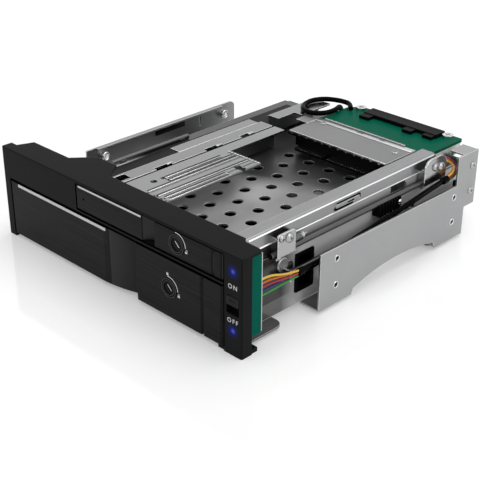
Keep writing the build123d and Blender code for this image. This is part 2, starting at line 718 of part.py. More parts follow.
with BuildPart() as rear_wire_plug:
    plug_front = board_rear - 20.0
    block((board_right - 4.4, plug_front, board_low - 5.0), (board_right, plug_front + 10.0, board_low))
    block((board_right - 3.8, plug_front - 1.0, board_low - 3.6),
          (board_right - 0.6, plug_front + 0.1, board_low - 1.4))
keep(rear_wire_plug, "rear_wire_plug")


# Backplane of the lower bay

with BuildPart() as backplane:
    block((left_wall, backplane_front, floor_low), (right_wall, backplane_rear, deck_low - 0.4))
    for vent_offset in (-35.7, -3.7, 28.3):
        with BuildSketch(Plane.XZ.offset(-back(backplane_rear + 1))):
            with Locations((middle_x + vent_offset, deck_low - 7.4)):
                SlotOverall(22.0, 6.0)
        extrude(amount=board + 2, mode=Mode.SUBTRACT)
keep(backplane, "backplane")

with BuildPart() as lower_socket:
    socket_left = left_wall + 16.4
    socket_front = drive_35_rear + 0.2
    block((socket_left, socket_front, 4.0), (socket_left + 46.0, backplane_front, 10.4))
    block((socket_left + 2.4, drive_35_rear - socket_tongue, 6.2),
          (socket_left + 43.6, socket_front, 7.4))
    block((socket_left + 18.5, drive_35_rear - socket_tongue - 1, 5.6),
          (socket_left + 20.0, socket_front, 8.0), mode=Mode.SUBTRACT)
keep(lower_socket, "lower_socket")

with BuildPart() as host_ports:
    for port_x in (left_wall + 13.4, left_wall + 35.4):
        block((port_x, backplane_rear, 6.0), (port_x + 15.0, overall_depth, 12.0))
        block((port_x + 1.2, backplane_rear + 0.8, 7.2), (port_x + 13.8, overall_depth + 1, 10.8),
              mode=Mode.SUBTRACT)
        block((port_x + 2.4, backplane_rear + 0.4, 8.6), (port_x + 11.0, overall_depth - 0.6, 9.6))
keep(host_ports, "host_ports")

with BuildPart() as power_inlet:
    inlet_left = right_wall - 38.9
    block((inlet_left, backplane_rear, 4.4), (inlet_left + 23.0, overall_depth, 13.0))
    for pin_hole in range(4):
        with BuildSketch(Plane.XZ.offset(-back(overall_depth + 1))):
            with Locations((inlet_left + 3.5 + pin_hole * 5.3, 8.7)):
                Circle(2.0)
        extrude(amount=host_port_reach, mode=Mode.SUBTRACT)
keep(power_inlet, "power_inlet")


# Outer brackets

def side_holes(start, end):
    """The four threaded side holes of the standard pattern."""
    for hole_y in (side_hole_front, side_hole_front + side_hole_spacing_y):
        for hole_z in (side_hole_low, side_hole_low + side_hole_spacing_z):
            rod_along_x(hole_y, hole_z, side_hole_radius, start, end, mode=Mode.SUBTRACT)


def hole_collars(start, end):
    """The drawn collars around the side holes, on the inner face."""
    for hole_y in (side_hole_front, side_hole_front + side_hole_spacing_y):
        for hole_z in (side_hole_low, side_hole_low + side_hole_spacing_z):
            rod_along_x(hole_y, hole_z, side_hole_radius + 0.7, start, end)


with BuildPart() as right_bracket:
    with BuildSketch(Plane.YZ.offset(plate_face - sheet)):
        with BuildLine():
            Polyline((back(arch_front), 3.9), (back(arch_front - 1.0), bracket_low),
                     (back(bracket_front), bracket_low),
                     (back(bracket_front), bracket_top), (back(ear_rear - 14.7), bracket_top),
                     (back(ear_rear - 14.7), bracket_ear_top), (back(ear_rear), bracket_ear_top),
                     (back(ear_rear), 14.5), (back(bracket_rear), 14.5),
                     (back(bracket_rear), bracket_low), (back(arch_rear + 1.3), bracket_low),
                     (back(arch_rear), 4.4))
            ThreePointArc((back(arch_rear), 4.4), (back(arch_middle), 7.9),
                          (back(arch_front), 3.9))
        make_face()
    extrude(amount=sheet)
    hole_collars(plate_face - sheet - 0.7, plate_face - sheet)
    side_holes(plate_face - 4, plate_face + 1)
    block((right_wall, bracket_front, bracket_low),
          (plate_face - 0.1, arch_front - 1.5, bracket_low + sheet))
    block((right_wall, arch_rear + 1.8, bracket_low), (plate_face - 0.1, bracket_rear, bracket_low + sheet))
    block((plate_face - 8.0, ear_rear - 10.1, bracket_ear_top - sheet),
          (plate_face - 0.1, ear_rear - 0.5, bracket_ear_top))
keep(right_bracket, "right_bracket")

with BuildPart() as left_bracket:
    with BuildSketch(Plane.YZ.offset(-plate_face)) as left_outline:
        with BuildLine():
            Polyline((back(arch_front), 3.9), (back(arch_front - 1.0), bracket_low),
                     (back(bracket_front), bracket_low),
                     (back(bracket_front), bracket_top), (back(bracket_rear), bracket_top),
                     (back(bracket_rear), bracket_low), (back(arch_rear + 1.3), bracket_low),
                     (back(arch_rear), 4.4))
            ThreePointArc((back(arch_rear), 4.4), (back(arch_middle), 7.9),
                          (back(arch_front), 3.9))
        make_face()
        fillet(left_outline.vertices().sort_by(lambda v: v.X + v.Y)[-1], 3.0)
    extrude(amount=sheet)
    hole_collars(-plate_face + sheet, -plate_face + sheet + 0.7)
    side_holes(-plate_face - 1, -plate_face + 4)
    block((-plate_face + 0.1, bracket_front, bracket_low),
          (left_wall, arch_front - 1.5, bracket_low + sheet))
    block((-plate_face + 0.1, arch_rear + 1.8, bracket_low), (left_wall, bracket_rear, bracket_low + sheet))
    block((-plate_face + 0.1, bracket_front + 5.5, bracket_top - sheet),
          (-plate_face + 2.6, bracket_rear - 10.2, bracket_top))
    block((-plate_face - 1, bracket_rear - 25.0, 19.6),
          (-plate_face + 1.2, bracket_rear - 24.2, 24.8), mode=Mode.SUBTRACT)
keep(left_bracket, "left_bracket")

with BuildPart() as feet:
    for foot_x in (7.0 - plate_face, plate_face - 7.0):
        rod_along_z(foot_x, bracket_rear - 15.7, 3.5, 0, bracket_low)
keep(feet, "feet")


# Right side mechanism

wall_face = right_wall + band_thickness
rod_x = right_wall + slide_gap + rod_radius
lower_rod_x = rod_x + 0.4
guide_x = rod_x + rod_radius + slide_gap
guide_face = guide_x + sheet
spring_x = rod_x + 0.5
spring_z = top_face - 6.8


def guide_bracket(start, end, low, high, corner):
    """A folded bracket: a flange across the rod's way and a plate outside the rod."""
    block((wall_face, start, low - 1.1), (guide_x + 0.1, start + sheet, high - corner))
    with BuildSketch(Plane.YZ.offset(guide_x)) as outline:
        with Locations((back((start + end) / 2), (low + high) / 2)):
            Rectangle(end - start, high - low)
        fillet(outline.vertices().group_by(Axis.Y)[-1], corner)
    extrude(outline.sketch, amount=sheet)
    rod_along_y(rod_x, upper_rod_z, rod_radius + running_fit, start - 1, start + 2,
                mode=Mode.SUBTRACT)


with BuildPart() as front_guide:
    guide_bracket(26.2, 36.3, deck_low + 0.6, top_face - 1.3, 1.5)
    # rear tab with the peg that carries the spring
    block((wall_face, 35.5, spring_z - 1.5), (guide_x + 0.1, 36.3, spring_z + 4.2))
    rod_along_y(spring_x, spring_z, 1.0, 36.2, 41.8)
    with Locations(Location((spring_x, back(43.3), spring_z), (-90, 0, 0))):
        Cone(1.45, 0.4, 3.0)
keep(front_guide, "front_guide_bracket")

with BuildPart() as rear_guide:
    guide_bracket(rear_guide_start, rear_guide_end, deck_low + 0.4, top_face + 0.6, 5.0)
keep(rear_guide, "rear_guide_bracket")

def slotted_screw(seat, screw_y, screw_z, height):
    """A slotted pan head whose underside is at X = seat."""
    rod_along_x(screw_y, screw_z, screw_head_radius, seat, seat + height)
    block((seat + height - 0.4, screw_y - 0.2, screw_z - 1.1),
          (seat + height + 0.5, screw_y + 0.2, screw_z + 1.1), mode=Mode.SUBTRACT)


with BuildPart() as guide_screws:
    for screw_y, drop in ((28.4, 3.4), (32.6, 4.0), (rear_guide_end - 8.6, 3.8),
                          (rear_guide_end - 4.2, 4.8)):
        slotted_screw(guide_face, screw_y, top_face - drop, 1.1)
    for screw_z in (bracket_ear_top - 6.8, bracket_top - 5.5):
        slotted_screw(plate_face, ear_rear - 3.4, screw_z, 0.7)
keep(guide_screws, "guide_screws")

with BuildPart() as return_spring:
    rod_along_y(spring_x, spring_z, 1.45, 36.3, 41.8)
    rod_along_y(spring_x, spring_z, 1.0 + running_fit, 36, 42, mode=Mode.SUBTRACT)
keep(return_spring, "return_spring")

with BuildPart() as upper_eject_rod:
    rod_along_y(rod_x, upper_rod_z, rod_radius, 24.6, rear_guide_start + 3.6)
    block((right_wall - 5.5, drive_25_rear + 0.4, deck_top + 1.2),
          (rod_x, drive_25_rear + 1.6, band_low - 0.7))
keep(upper_eject_rod, "upper_eject_rod")

with BuildPart() as lower_eject_rod:
    rod_along_y(lower_rod_x, lower_rod_z, rod_radius, 30.0, drive_35_rear + 1.4)
    block((right_wall - 5.5, drive_35_rear + 0.2, lower_rod_z - 2.3),
          (lower_rod_x, drive_35_rear + 1.4, lower_rod_z + 2.3))
keep(lower_eject_rod, "lower_eject_rod")

with BuildPart() as lower_rod_guides:
    for guide_y in (33.5, 112.0):
        block((right_wall, guide_y, lower_rod_z - 2.5),
              (lower_rod_x + 2.2, guide_y + 1.0, lower_rod_z + 2.3))
        rod_along_x(guide_y + 3.1, lower_rod_z + 1.4, 3.0, right_wall, right_wall + 0.3)
        rod_along_y(lower_rod_x, lower_rod_z, rod_radius + running_fit, guide_y - 1, guide_y + 2,
                    mode=Mode.SUBTRACT)
keep(lower_rod_guides, "lower_rod_guides")

with BuildPart() as upper_rod_guide:
    block((right_wall, guide_block_front, deck_low - 3.8),
          (rod_x + rod_radius + 0.2, guide_block_front + guide_block_length, deck_low - 0.6))
    for fin in range(fin_count):
        fin_y = guide_block_front + fin * fin_pitch
        block((right_wall, fin_y, deck_low - 3.8),
              (rod_x + rod_radius + 1.0, fin_y + fin_pitch / 2, upper_rod_z))
    rod_along_y(rod_x, upper_rod_z, rod_radius + running_fit, guide_block_front - 1,
                guide_block_front + guide_block_length + 1, mode=Mode.SUBTRACT)
keep(upper_rod_guide, "upper_rod_guide")

with BuildPart() as guide_rivet:
    rod_along_x(33.9, deck_low - 4.2, 1.4, right_wall, right_wall + 1.6)
    rod_along_x(guide_block_front + guide_block_length + 1.9, deck_low - 2.0, 1.5,
                right_wall, right_wall + 2.4)
keep(guide_rivet, "guide_rivet")

with BuildPart() as grommet:
    with BuildSketch(Plane.YZ.offset(right_wall - sheet)) as ring_outline:
        with Locations((back(46.2), 16.25)):
            RectangleRounded(11.0 - 2 * snug_fit, 17.5 - 2 * snug_fit, 1.0)
            Rectangle(7.6, 14.1, mode=Mode.SUBTRACT)
    extrude(amount=sheet + 0.5)
keep(grommet, "grommet")


# Wires held by the cage

sleeve_x = plate_face - 3.6
sleeve_start = (sleeve_x, 35.3, 21.6)
sleeve_end = (sleeve_x, board_rear - 22.1, deck_low + 1.0)
sleeve_seat = 0.15
with BuildPart() as cable_sleeve:
    sleeve_length = cord([sleeve_start, (sleeve_x + 0.1, 49.4, 21.9), (sleeve_x, 66.0, 23.6),
                          (sleeve_x + 0.1, 87.0, 25.4),
                          (sleeve_x, sleeve_end[1] - 21.4, sleeve_end[2] - 2.4), sleeve_end],
                         sleeve_radius)
keep_cord(cable_sleeve, "cable_sleeve", sleeve_radius, [sleeve_length])

wire_names = ("yellow", "orange", "red", "blue", "green")
wire_spots = ((0.35, 1.1), (-0.75, 0.6), (0.45, 0.0), (-0.75, -0.6), (0.35, -1.1))
for number, (colour, (spot_x, spot_z)) in enumerate(zip(wire_names, wire_spots)):
    socket_z = switch_low + 9.3 - 1.7 * number
    plug_y = board_rear - 18.2 + 1.7 * number
    with BuildPart() as wire:
        front_length = cord([
            (sleeve_x + 0.4, 12.2, socket_z), (sleeve_x + 0.6, 19.0, socket_z + 0.1),
            (sleeve_x + 0.2 + 0.5 * spot_x, 28.0, 0.5 * (socket_z + sleeve_start[2]) - 0.4),
            (sleeve_start[0] + spot_x, sleeve_start[1] - sleeve_seat, sleeve_start[2] + spot_z),
        ], wire_radius)
        rear_length = cord([
            (sleeve_end[0] + spot_x, sleeve_end[1] + sleeve_seat + 0.1, sleeve_end[2] + spot_z),
            (sleeve_end[0] + spot_x, sleeve_end[1] + 4.6 + 0.4 * number, sleeve_end[2] + spot_z + 0.9),
            (sleeve_x - 2.0 + 0.3 * spot_x, sleeve_end[1] + 6.9 + 1.3 * number,
             board_low - 4.0 - 0.45 * number),
            (board_right + 3.4, plug_y + 0.2, board_low - 2.2), (board_right, plug_y, board_low - 2.4),
        ], wire_radius)
    keep_cord(wire, f"{colour}_wire", wire_radius, [front_length, rear_length])

loop_z = top_face + 1.4
with BuildPart() as loop_cable:
    loop_length = cord([
        (divider_wall + 4.8, board_rear - 5.7, deck_top - 0.6),
        (divider_wall + 4.8, board_rear - 5.8, deck_top + 6.0),
        (divider_wall + 6.9, board_rear - 10.4, loop_z - 0.2),
        (divider_wall + 9.3, board_rear - 16.7, loop_z),
        (divider_wall + 8.9, board_rear - 23.4, loop_z),
        (divider_wall + 4.1, board_rear - 28.0, loop_z),
        (divider_wall - 1.9, board_rear - 27.4, loop_z),
        (divider_wall - 6.0, board_rear - 22.5, loop_z),
        (divider_wall - 7.4, board_rear - 15.0, loop_z),
        (divider_wall - 4.2, board_rear - 8.6, loop_z),
        (divider_wall + 2.3, board_rear - 5.5, loop_z),
        (divider_wall + 8.3, board_rear - 5.0, loop_z - 0.1),
        (divider_wall + 12.1, board_rear - 8.6, loop_z - 0.8),
    ], loop_radius)
keep_cord(loop_cable, "loop_cable", loop_radius, [loop_length])
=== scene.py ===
import math

import bmesh
import bpy
from mathutils import Matrix, Vector


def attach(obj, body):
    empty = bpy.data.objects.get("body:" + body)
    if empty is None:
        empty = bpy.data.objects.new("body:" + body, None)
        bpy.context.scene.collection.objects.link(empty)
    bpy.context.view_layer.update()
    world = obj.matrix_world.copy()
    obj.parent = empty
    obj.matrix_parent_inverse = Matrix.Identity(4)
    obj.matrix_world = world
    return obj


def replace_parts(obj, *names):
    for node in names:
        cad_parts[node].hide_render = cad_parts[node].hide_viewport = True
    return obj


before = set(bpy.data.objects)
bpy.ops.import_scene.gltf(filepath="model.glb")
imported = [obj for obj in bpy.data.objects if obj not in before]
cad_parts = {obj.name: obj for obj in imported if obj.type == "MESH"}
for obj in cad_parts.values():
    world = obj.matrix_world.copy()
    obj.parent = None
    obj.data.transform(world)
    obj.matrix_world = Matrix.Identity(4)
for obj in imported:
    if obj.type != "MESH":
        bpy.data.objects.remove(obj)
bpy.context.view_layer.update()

# Sizes are in millimetres here. Y is the depth behind the bezel's face, as in the part's source.
MM = 0.001
FACE_Y = -80.65
FULL_TURN = 2 * math.pi

# Faces of the solids that the pieces sit on, and a place just inside the right wall
RIGHT_WALL = 62.9
WALL_INSIDE = RIGHT_WALL - 1.0
BAND_FACE = RIGHT_WALL + 0.6
GUIDE_FACE = 67.1
PLATE_FACE = 73.0
TOP_FACE = 41.0
ROOF_FACE = 42.2
BACKPLANE_REAR = 158.1

# Places of the locks, the light and switch strip, the cable and the side holes
LOCKS = {"lower": (34.4, 14.9), "upper": (39.4, 35.7)}
STRIP_X = 69.3
LED_HEIGHTS = (10.7, 35.8)
KNOB_LOW = 21.6
CABLE_X = 69.4
HOLE_DEPTHS = (54.3, 133.55)
HOLE_HEIGHTS = (10.05, 21.99)

RIGHTWARD = (1, 0, 0)
FORWARD = (0, -1, 0)
REARWARD = (0, 1, 0)


def to_model():
    """Takes millimetres behind the bezel's face to metres in the model."""
    return Matrix.Scale(MM, 4) @ Matrix.Translation((0, FACE_Y, 0))


# Node trees

def feed(socket, value):
    """Joins a signal to an input, or sets the input's own value."""
    if isinstance(value, Signal):
        socket.id_data.links.new(value.socket, socket)
    else:
        socket.default_value = value


class Signal:
    """An output in a node tree, whose arithmetic adds Math nodes."""

    def __init__(self, socket):
        self.socket = socket

    def math(self, operation, *others, clamp=False):
        """Adds one Math node that starts with this signal."""
        node = self.socket.id_data.nodes.new("ShaderNodeMath")
        node.operation = operation
        node.use_clamp = clamp
        for slot, value in zip(node.inputs, (self, *others)):
            feed(slot, value)
        return Signal(node.outputs[0])

    def __add__(self, other):
        return self.math("ADD", other)

    def __radd__(self, other):
        return self.math("ADD", other)

    def __sub__(self, other):
        return self.math("SUBTRACT", other)

    def __rsub__(self, other):
        return self.math("MULTIPLY", -1.0).math("ADD", other)

    def __mul__(self, other):
        return self.math("MULTIPLY", other)

    def __rmul__(self, other):
        return self.math("MULTIPLY", other)

    def __truediv__(self, other):
        return self.math("DIVIDE", other)

    def __pow__(self, other):
        return self.math("POWER", other)

    def __gt__(self, other):
        return self.math("GREATER_THAN", other)

    def __lt__(self, other):
        return self.math("LESS_THAN", other)

    def held(self):
        """The signal kept between 0 and 1."""
        return self.math("ADD", 0.0, clamp=True)

    def fade(self, start, length):
        """0 up to a start, and 1 from a length past it."""
        return ((self - start) / length).held()


class Finish:
    """A material made from nodes on Object coordinates, in metres."""

    def __init__(self, name):
        self.material = bpy.data.materials.new(name)
        self.material.use_nodes = True
        self.tree = self.material.node_tree
        self.tree.nodes.clear()
        self.place = self.node("TexCoord", out="Object")

    def node(self, kind, settings=(), sockets=(), out=0):
        """Adds one node and returns one of its outputs."""
        made = self.tree.nodes.new("ShaderNode" + kind)
        for name, value in dict(settings).items():
            setattr(made, name, value)
        for name, value in dict(sockets).items():
            feed(made.inputs[name], value)
        return Signal(made.outputs[out])

    def stretched(self, scale):
        """The place, scaled along each axis."""
        return self.node("Mapping", sockets={"Vector": self.place, "Scale": scale})

    def noise(self, scale, detail=3.0, stretch=(1, 1, 1)):
        """Soft noise between 0 and 1, with so many lumps to the metre."""
        return self.node("TexNoise", sockets={"Vector": self.stretched(stretch), "Scale": scale,
                                              "Detail": detail, "Roughness": 0.6})

    def axis(self, number):
        """One coordinate of the place, in metres."""
        return self.node("SeparateXYZ", sockets={0: self.place}, out=number)

    def depth(self):
        """Millimetres behind the bezel's face."""
        return self.axis(1) / MM - FACE_Y

    def blend(self, factor, first, second):
        """A colour between two. Either may be a signal."""
        made = self.tree.nodes.new("ShaderNodeMix")
        made.data_type = "RGBA"
        feed(made.inputs[0], factor)
        feed(made.inputs[6], first)
        feed(made.inputs[7], second)
        return Signal(made.outputs[2])

    def rounded(self, radius):
        """The normal that the surface would have with its edges rounded."""
        return self.node("Bevel", {"samples": 4}, {"Radius": radius * MM})

    def edges(self, rounded, strength):
        """1 along an edge and 0 on a flat."""
        flat = self.node("NewGeometry", out="Normal")
        same = self.node("VectorMath", {"operation": "DOT_PRODUCT"}, {0: rounded, 1: flat}, out="Value")
        return ((1.0 - same) * strength).held()

    def bump(self, height, depth, normal=None):
        """A normal bent by a height signal, whose full range is so many millimetres."""
        sockets = {"Height": height, "Distance": depth * MM, "Strength": 1.0}
        if normal is not None:
            sockets["Normal"] = normal
        return self.node("Bump", sockets=sockets)

    def done(self, **sockets):
        """Ends in a Principled shader. Underscores stand for the spaces in socket names."""
        shader = self.tree.nodes.new("ShaderNodeBsdfPrincipled")
        for name, value in sockets.items():
            feed(shader.inputs[name.replace("_", " ")], value)
        output = self.tree.nodes.new("ShaderNodeOutputMaterial")
        self.tree.links.new(shader.outputs[0], output.inputs["Surface"])
        return self.material


def colour(red, green, blue):
    """An opaque linear colour."""
    return (red, green, blue, 1.0)


def grey(level):
    """A neutral linear colour."""
    return colour(level, level, level)


# Finishes

def light_spots(f, reach, power=1.0):
    """1 in the middle of each light, and 0 from a reach in millimetres."""
    glow = None
    for height in LED_HEIGHTS:
        across = (f.axis(0) - STRIP_X * MM) / MM
        up = (f.axis(2) - height * MM) / MM
        away = (across * across + up * up) ** 0.5
        near = (1.0 - away / reach).held() ** power
        glow = near if glow is None else glow + near
    return glow


def satin_black(name, base, roughness, glow_and_roof_shade=False, specular=0.06):
    """Fine-grained black plastic with painted highlights on its edges. On the bezel its roof is darkened
    as painted shade and its front has a painted blue glow around the lights.
    """
    f = Finish(name)
    grain = f.noise(2600.0, 2.0)
    patches = f.noise(45.0, 2.0)
    soft = f.rounded(0.25)
    edge_highlight = f.edges(soft, 2.5)
    tone = f.blend(patches, colour(base * 0.85, base * 0.85, base * 0.9),
                   colour(base * 1.15, base * 1.15, base * 1.2))
    if glow_and_roof_shade:
        # Painted shade: the roof is darkened.
        roof_shade = f.axis(2) > ROOF_FACE * MM
        tone = f.blend(roof_shade, tone, colour(base * 0.2, base * 0.2, base * 0.21))
    # Painted highlight: the edges are lightened.
    tone = f.blend(edge_highlight * 0.6, tone, colour(base * 4, base * 4, base * 4.2))
    sockets = {
        "Base_Color": tone,
        "Roughness": roughness + (grain - 0.5) * 0.12,
        "Specular_IOR_Level": specular,
        "Normal": f.bump(grain, 0.012, soft),
    }
    if glow_and_roof_shade:
        # Painted glow: the front glows blue around the lights, though it is no lamp.
        skin = 0.3
        front = f.axis(1) < (FACE_Y + skin) * MM
        glow = (light_spots(f, reach=3.8, power=1.6) * front).held()
        sockets["Emission_Color"] = f.blend(glow, grey(0), colour(0.003, 0.008, 0.17))
        sockets["Emission_Strength"] = 1.0
    return f.done(**sockets)


def brushed_black(name):
    """Black anodised door, brushed along its length, with painted light in its finger hollow and painted
    highlights on its edges.
    """
    f = Finish(name)
    lines = f.noise(1.0, 4.0, (35.0, 2600.0, 2600.0))
    broad = f.noise(1.0, 2.0, (8.0, 500.0, 500.0))
    soft = f.rounded(0.22)
    edge_highlight = f.edges(soft, 2.5)
    streak = ((lines - 0.5) * 2.6 + 0.5).held()
    tone = f.blend(streak, colour(0.001, 0.001, 0.0011), colour(0.012, 0.012, 0.0125))
    skin, upper_door_low = 0.35, 27.0
    # Painted light in the finger hollow: lighter at its left, and lighter still on the upper door.
    across = (f.axis(0) / MM).fade(-3.0, 20.0)
    hollow = f.blend(across, colour(0.040, 0.040, 0.041), colour(0.016, 0.016, 0.0165))
    hollow = f.blend(f.axis(2) > upper_door_low * MM, hollow, colour(0.052, 0.052, 0.053))
    tone = f.blend(f.axis(1) > (FACE_Y + skin) * MM, tone, hollow)
    # Painted highlight: the edges are lightened.
    tone = f.blend(edge_highlight * 0.5, tone, colour(0.04, 0.04, 0.041))
    return f.done(Base_Color=tone, Metallic=0.0, Roughness=0.38 + (broad - 0.5) * 0.2,
                  Specular_IOR_Level=0.08, Normal=f.bump(lines, 0.014, soft))


def painted_wall_light(f, base, tone, top):
    """Paints light and shade on the right wall's outer face below a height: painted light behind the cable
    opening, painted shade before it.

    Gives the colour and the face's mask.
    """
    sill, lit_from, lit_over = 9.0, 33.0, 12.0
    face = (f.axis(0) > WALL_INSIDE * MM) * (f.axis(2) < top * MM)
    # Painted shade before the cable opening, less dark below the sill.
    front = f.blend(f.axis(2) < sill * MM, grey(0.02), grey(0.13))
    wall = f.blend(f.depth().fade(lit_from, lit_over), front, grey(tone))
    return f.blend(face, base, wall), face


def painted_floor_light(f, base, left, right, rear):
    """Paints light and shade on the deck's floor: painted light at its left, less at its right, and
    painted shade towards its dark rear.

    Gives the colour and the floor's mask.
    """
    floor_top, slant, dimming = 33.0, 0.4, 0.38
    floor = (f.axis(2) < floor_top * MM) * (f.axis(0) < WALL_INSIDE * MM)
    back = (f.depth() - f.axis(0) / MM * slant).fade(61.0, 13.0)
    across = (f.axis(0) / MM).fade(8.0, 24.0)
    front = f.blend(across, grey(left), grey(right))
    front = f.blend(f.depth().fade(45.0, 28.0) * dimming, front, grey(rear))
    return f.blend(floor, base, f.blend(back, front, grey(rear))), floor


def sheet_steel(name, tone, roughness, edge=0.9, grain=(1.0, 1.0, 1.0), edge_radius=0.35,
                side_light_level=None, side_top=60.0, floor_light_levels=None):
    """Plated sheet steel with rolled grain, faint cloudy patches and cut edges lightened as a painted
    highlight.

    A side light level paints light and shade on the right wall below side_top, and floor light levels
    paint light and shade on the deck's floor.
    """
    f = Finish(name)
    rolled = f.noise(900.0, 3.0, grain)
    cloud = f.noise(38.0, 3.0)
    soft = f.rounded(edge_radius)
    edge_highlight = f.edges(soft, 7.0)
    base = f.blend(cloud, colour(tone * 0.84, tone * 0.85, tone * 0.87),
                   colour(tone * 1.12, tone * 1.12, tone * 1.13))
    base = f.blend((rolled - 0.5) * 0.35 + 0.2, base, colour(tone * 1.25, tone * 1.25, tone * 1.26))
    metal = 1.0
    # Painted light and shade on the right wall.
    if side_light_level:
        base, face = painted_wall_light(f, base, side_light_level, side_top)
        metal = 1.0 - face * 0.9
    # Painted light and shade on the deck's floor.
    if floor_light_levels:
        base, floor = painted_floor_light(f, base, *floor_light_levels)
        metal = metal - floor * 0.65
    # Painted highlight: the cut edges are lightened.
    base = f.blend(edge_highlight, base, grey(edge))
    return f.done(Base_Color=base, Metallic=metal,
                  Roughness=roughness + (rolled - 0.5) * 0.10 + (cloud - 0.5) * 0.08,
                  Normal=f.bump(rolled, 0.004, soft))


def plated(name, tone, roughness, edge=0.95):
    """Bright plate on screws, pins and rods, finely turned, with painted highlights on its edges."""
    f = Finish(name)
    turned_lines = f.noise(2400.0, 2.0)
    cloud = f.noise(300.0, 2.0)
    soft = f.rounded(0.15)
    edge_highlight = f.edges(soft, 2.0)
    base = f.blend(cloud, colour(tone * 0.8, tone * 0.8, tone * 0.82), grey(tone))
    # Painted highlight: the edges are lightened.
    base = f.blend(edge_highlight, base, grey(edge))
    return f.done(Base_Color=base, Metallic=1.0, Roughness=roughness + (turned_lines - 0.5) * 0.12,
                  Normal=f.bump(turned_lines, 0.003, soft))


def moulded(name, low, high, roughness, grain=1800.0, depth=0.01, specular=0.3):
    """Moulded plastic or rubber between two shades, with painted highlights on its edges."""
    f = Finish(name)
    speck = f.noise(grain, 2.0)
    cloud = f.noise(120.0, 2.0)
    soft = f.rounded(0.12)
    edge_highlight = f.edges(soft, 2.0)
    base = f.blend(cloud, low, high)
    # Painted highlight: the edges are lightened.
    base = f.blend(edge_highlight * 0.35, base, colour(*[min(1.0, c * 2.2 + 0.008) for c in high[:3]]))
    return f.done(Base_Color=base, Roughness=roughness + (speck - 0.5) * 0.14,
                  Specular_IOR_Level=specular, Normal=f.bump(speck, depth, soft))


def solder_mask(name, low, high, across, along, trace):
    """Green circuit board: faint tracks under a satin mask, with pale glass edges lightened further as a
    painted highlight.
    """
    f = Finish(name)
    zone_scale = 130.0
    first = f.node("TexWave", {"bands_direction": across, "wave_profile": "SAW"},
                   {"Vector": f.place, "Scale": 150.0, "Distortion": 0.0})
    second = f.node("TexWave", {"bands_direction": along, "wave_profile": "SAW"},
                    {"Vector": f.place, "Scale": 120.0, "Distortion": 0.0})
    zones = f.node("TexVoronoi", {"feature": "F1", "distance": "CHEBYCHEV"},
                   {"Vector": f.place, "Scale": zone_scale, "Randomness": 0.8}, out="Distance")
    speck = f.noise(2200.0, 2.0)
    pick = zones * zone_scale > 26.0
    tracks = ((first > 0.62) * pick + (second > 0.66) * (1.0 - pick)).held()
    soft = f.rounded(0.12)
    edge_highlight = f.edges(soft, 3.0)
    base = f.blend(tracks * trace, low, high)
    # Pale glass along the edges, lightened further as a painted highlight.
    base = f.blend(edge_highlight * 0.6, base, colour(0.42, 0.62, 0.48))
    return f.done(Base_Color=base, Roughness=0.40 + (speck - 0.5) * 0.1, Specular_IOR_Level=0.02,
                  Normal=f.bump(tracks, 0.02, soft))


def lit_blue(name):
    """A lit blue lens, paler in its middle."""
    f = Finish(name)
    glow = light_spots(f, reach=1.35).held()
    lamp = f.blend(glow, colour(0.002, 0.005, 0.09), colour(0.05, 0.085, 0.42))
    base = f.blend(glow, colour(0.0, 0.002, 0.05), colour(0.01, 0.02, 0.3))
    return f.done(Base_Color=base, Roughness=0.3 + f.noise(900.0) * 0.05, Specular_IOR_Level=0.05,
                  Emission_Color=lamp, Emission_Strength=1.0)


def printed_white(name):
    """White print, a little uneven in its ink."""
    f = Finish(name)
    ink = f.noise(1800.0, 2.0)
    base = f.blend(ink, grey(0.70), grey(0.90))
    return f.done(Base_Color=base, Roughness=0.5 + (ink - 0.5) * 0.1)


def jacket(name, low, high, roughness=0.35, specular=0.3):
    """Soft insulation on a wire, scuffed here and there."""
    f = Finish(name)
    scuff = f.noise(420.0, 3.0)
    speck = f.noise(2200.0, 2.0)
    return f.done(Base_Color=f.blend(scuff, low, high), Roughness=roughness + (scuff - 0.5) * 0.2,
                  Specular_IOR_Level=specular, Normal=f.bump(speck, 0.006))


black_frame = satin_black("satin_black_bezel", 0.0075, 0.5, glow_and_roof_shade=True)
black_door = brushed_black("brushed_black_door")
black_knob = satin_black("matt_black_knob", 0.030, 0.6)
silver_strip = plated("polished_silver_strip", 0.50, 0.26)
cage_steel = sheet_steel("cage_steel", 0.25, 0.24, grain=(1.0, 0.12, 1.0))
divider_steel = sheet_steel("divider_steel", 0.28, 0.24, edge=0.42, grain=(1.0, 0.12, 1.0),
                            edge_radius=0.2)
deck_steel = sheet_steel("deck_steel", 0.27, 0.30, grain=(1.0, 0.12, 1.0), side_light_level=0.42, side_top=35.0,
                         floor_light_levels=(0.80, 0.29, 0.045))
tray_steel = sheet_steel("tray_steel", 0.16, 0.22, edge=0.8, grain=(1.0, 0.12, 1.0), side_light_level=0.85)
plate_steel = sheet_steel("cross_plate_steel", 0.20, 0.30, grain=(0.12, 1.0, 1.0))
# A lighter copy of the cross plate steel: painted highlight on the plate's lips.
lip_steel = sheet_steel("lip_steel", 0.52, 0.3, grain=(0.12, 1.0, 1.0))
bracket_steel = sheet_steel("bracket_steel", 0.33, 0.34, grain=(1.0, 0.15, 1.0))
dim_steel = sheet_steel("dim_bracket_steel", 0.27, 0.30, edge=0.75, grain=(1.0, 0.15, 1.0))
guide_steel = sheet_steel("guide_steel", 0.36, 0.20, edge=0.95, edge_radius=0.45)
disc_steel = sheet_steel("disc_steel", 0.42, 0.45, edge=0.8, edge_radius=0.2)
shadow_steel = sheet_steel("shadow_steel", 0.03, 0.45, edge=0.05)
bright_plate = plated("bright_nickel", 0.72, 0.16)
screw_steel = plated("screw_steel", 0.42, 0.24, 0.8)
coil_steel = plated("coil_steel", 0.26, 0.3, 0.5)
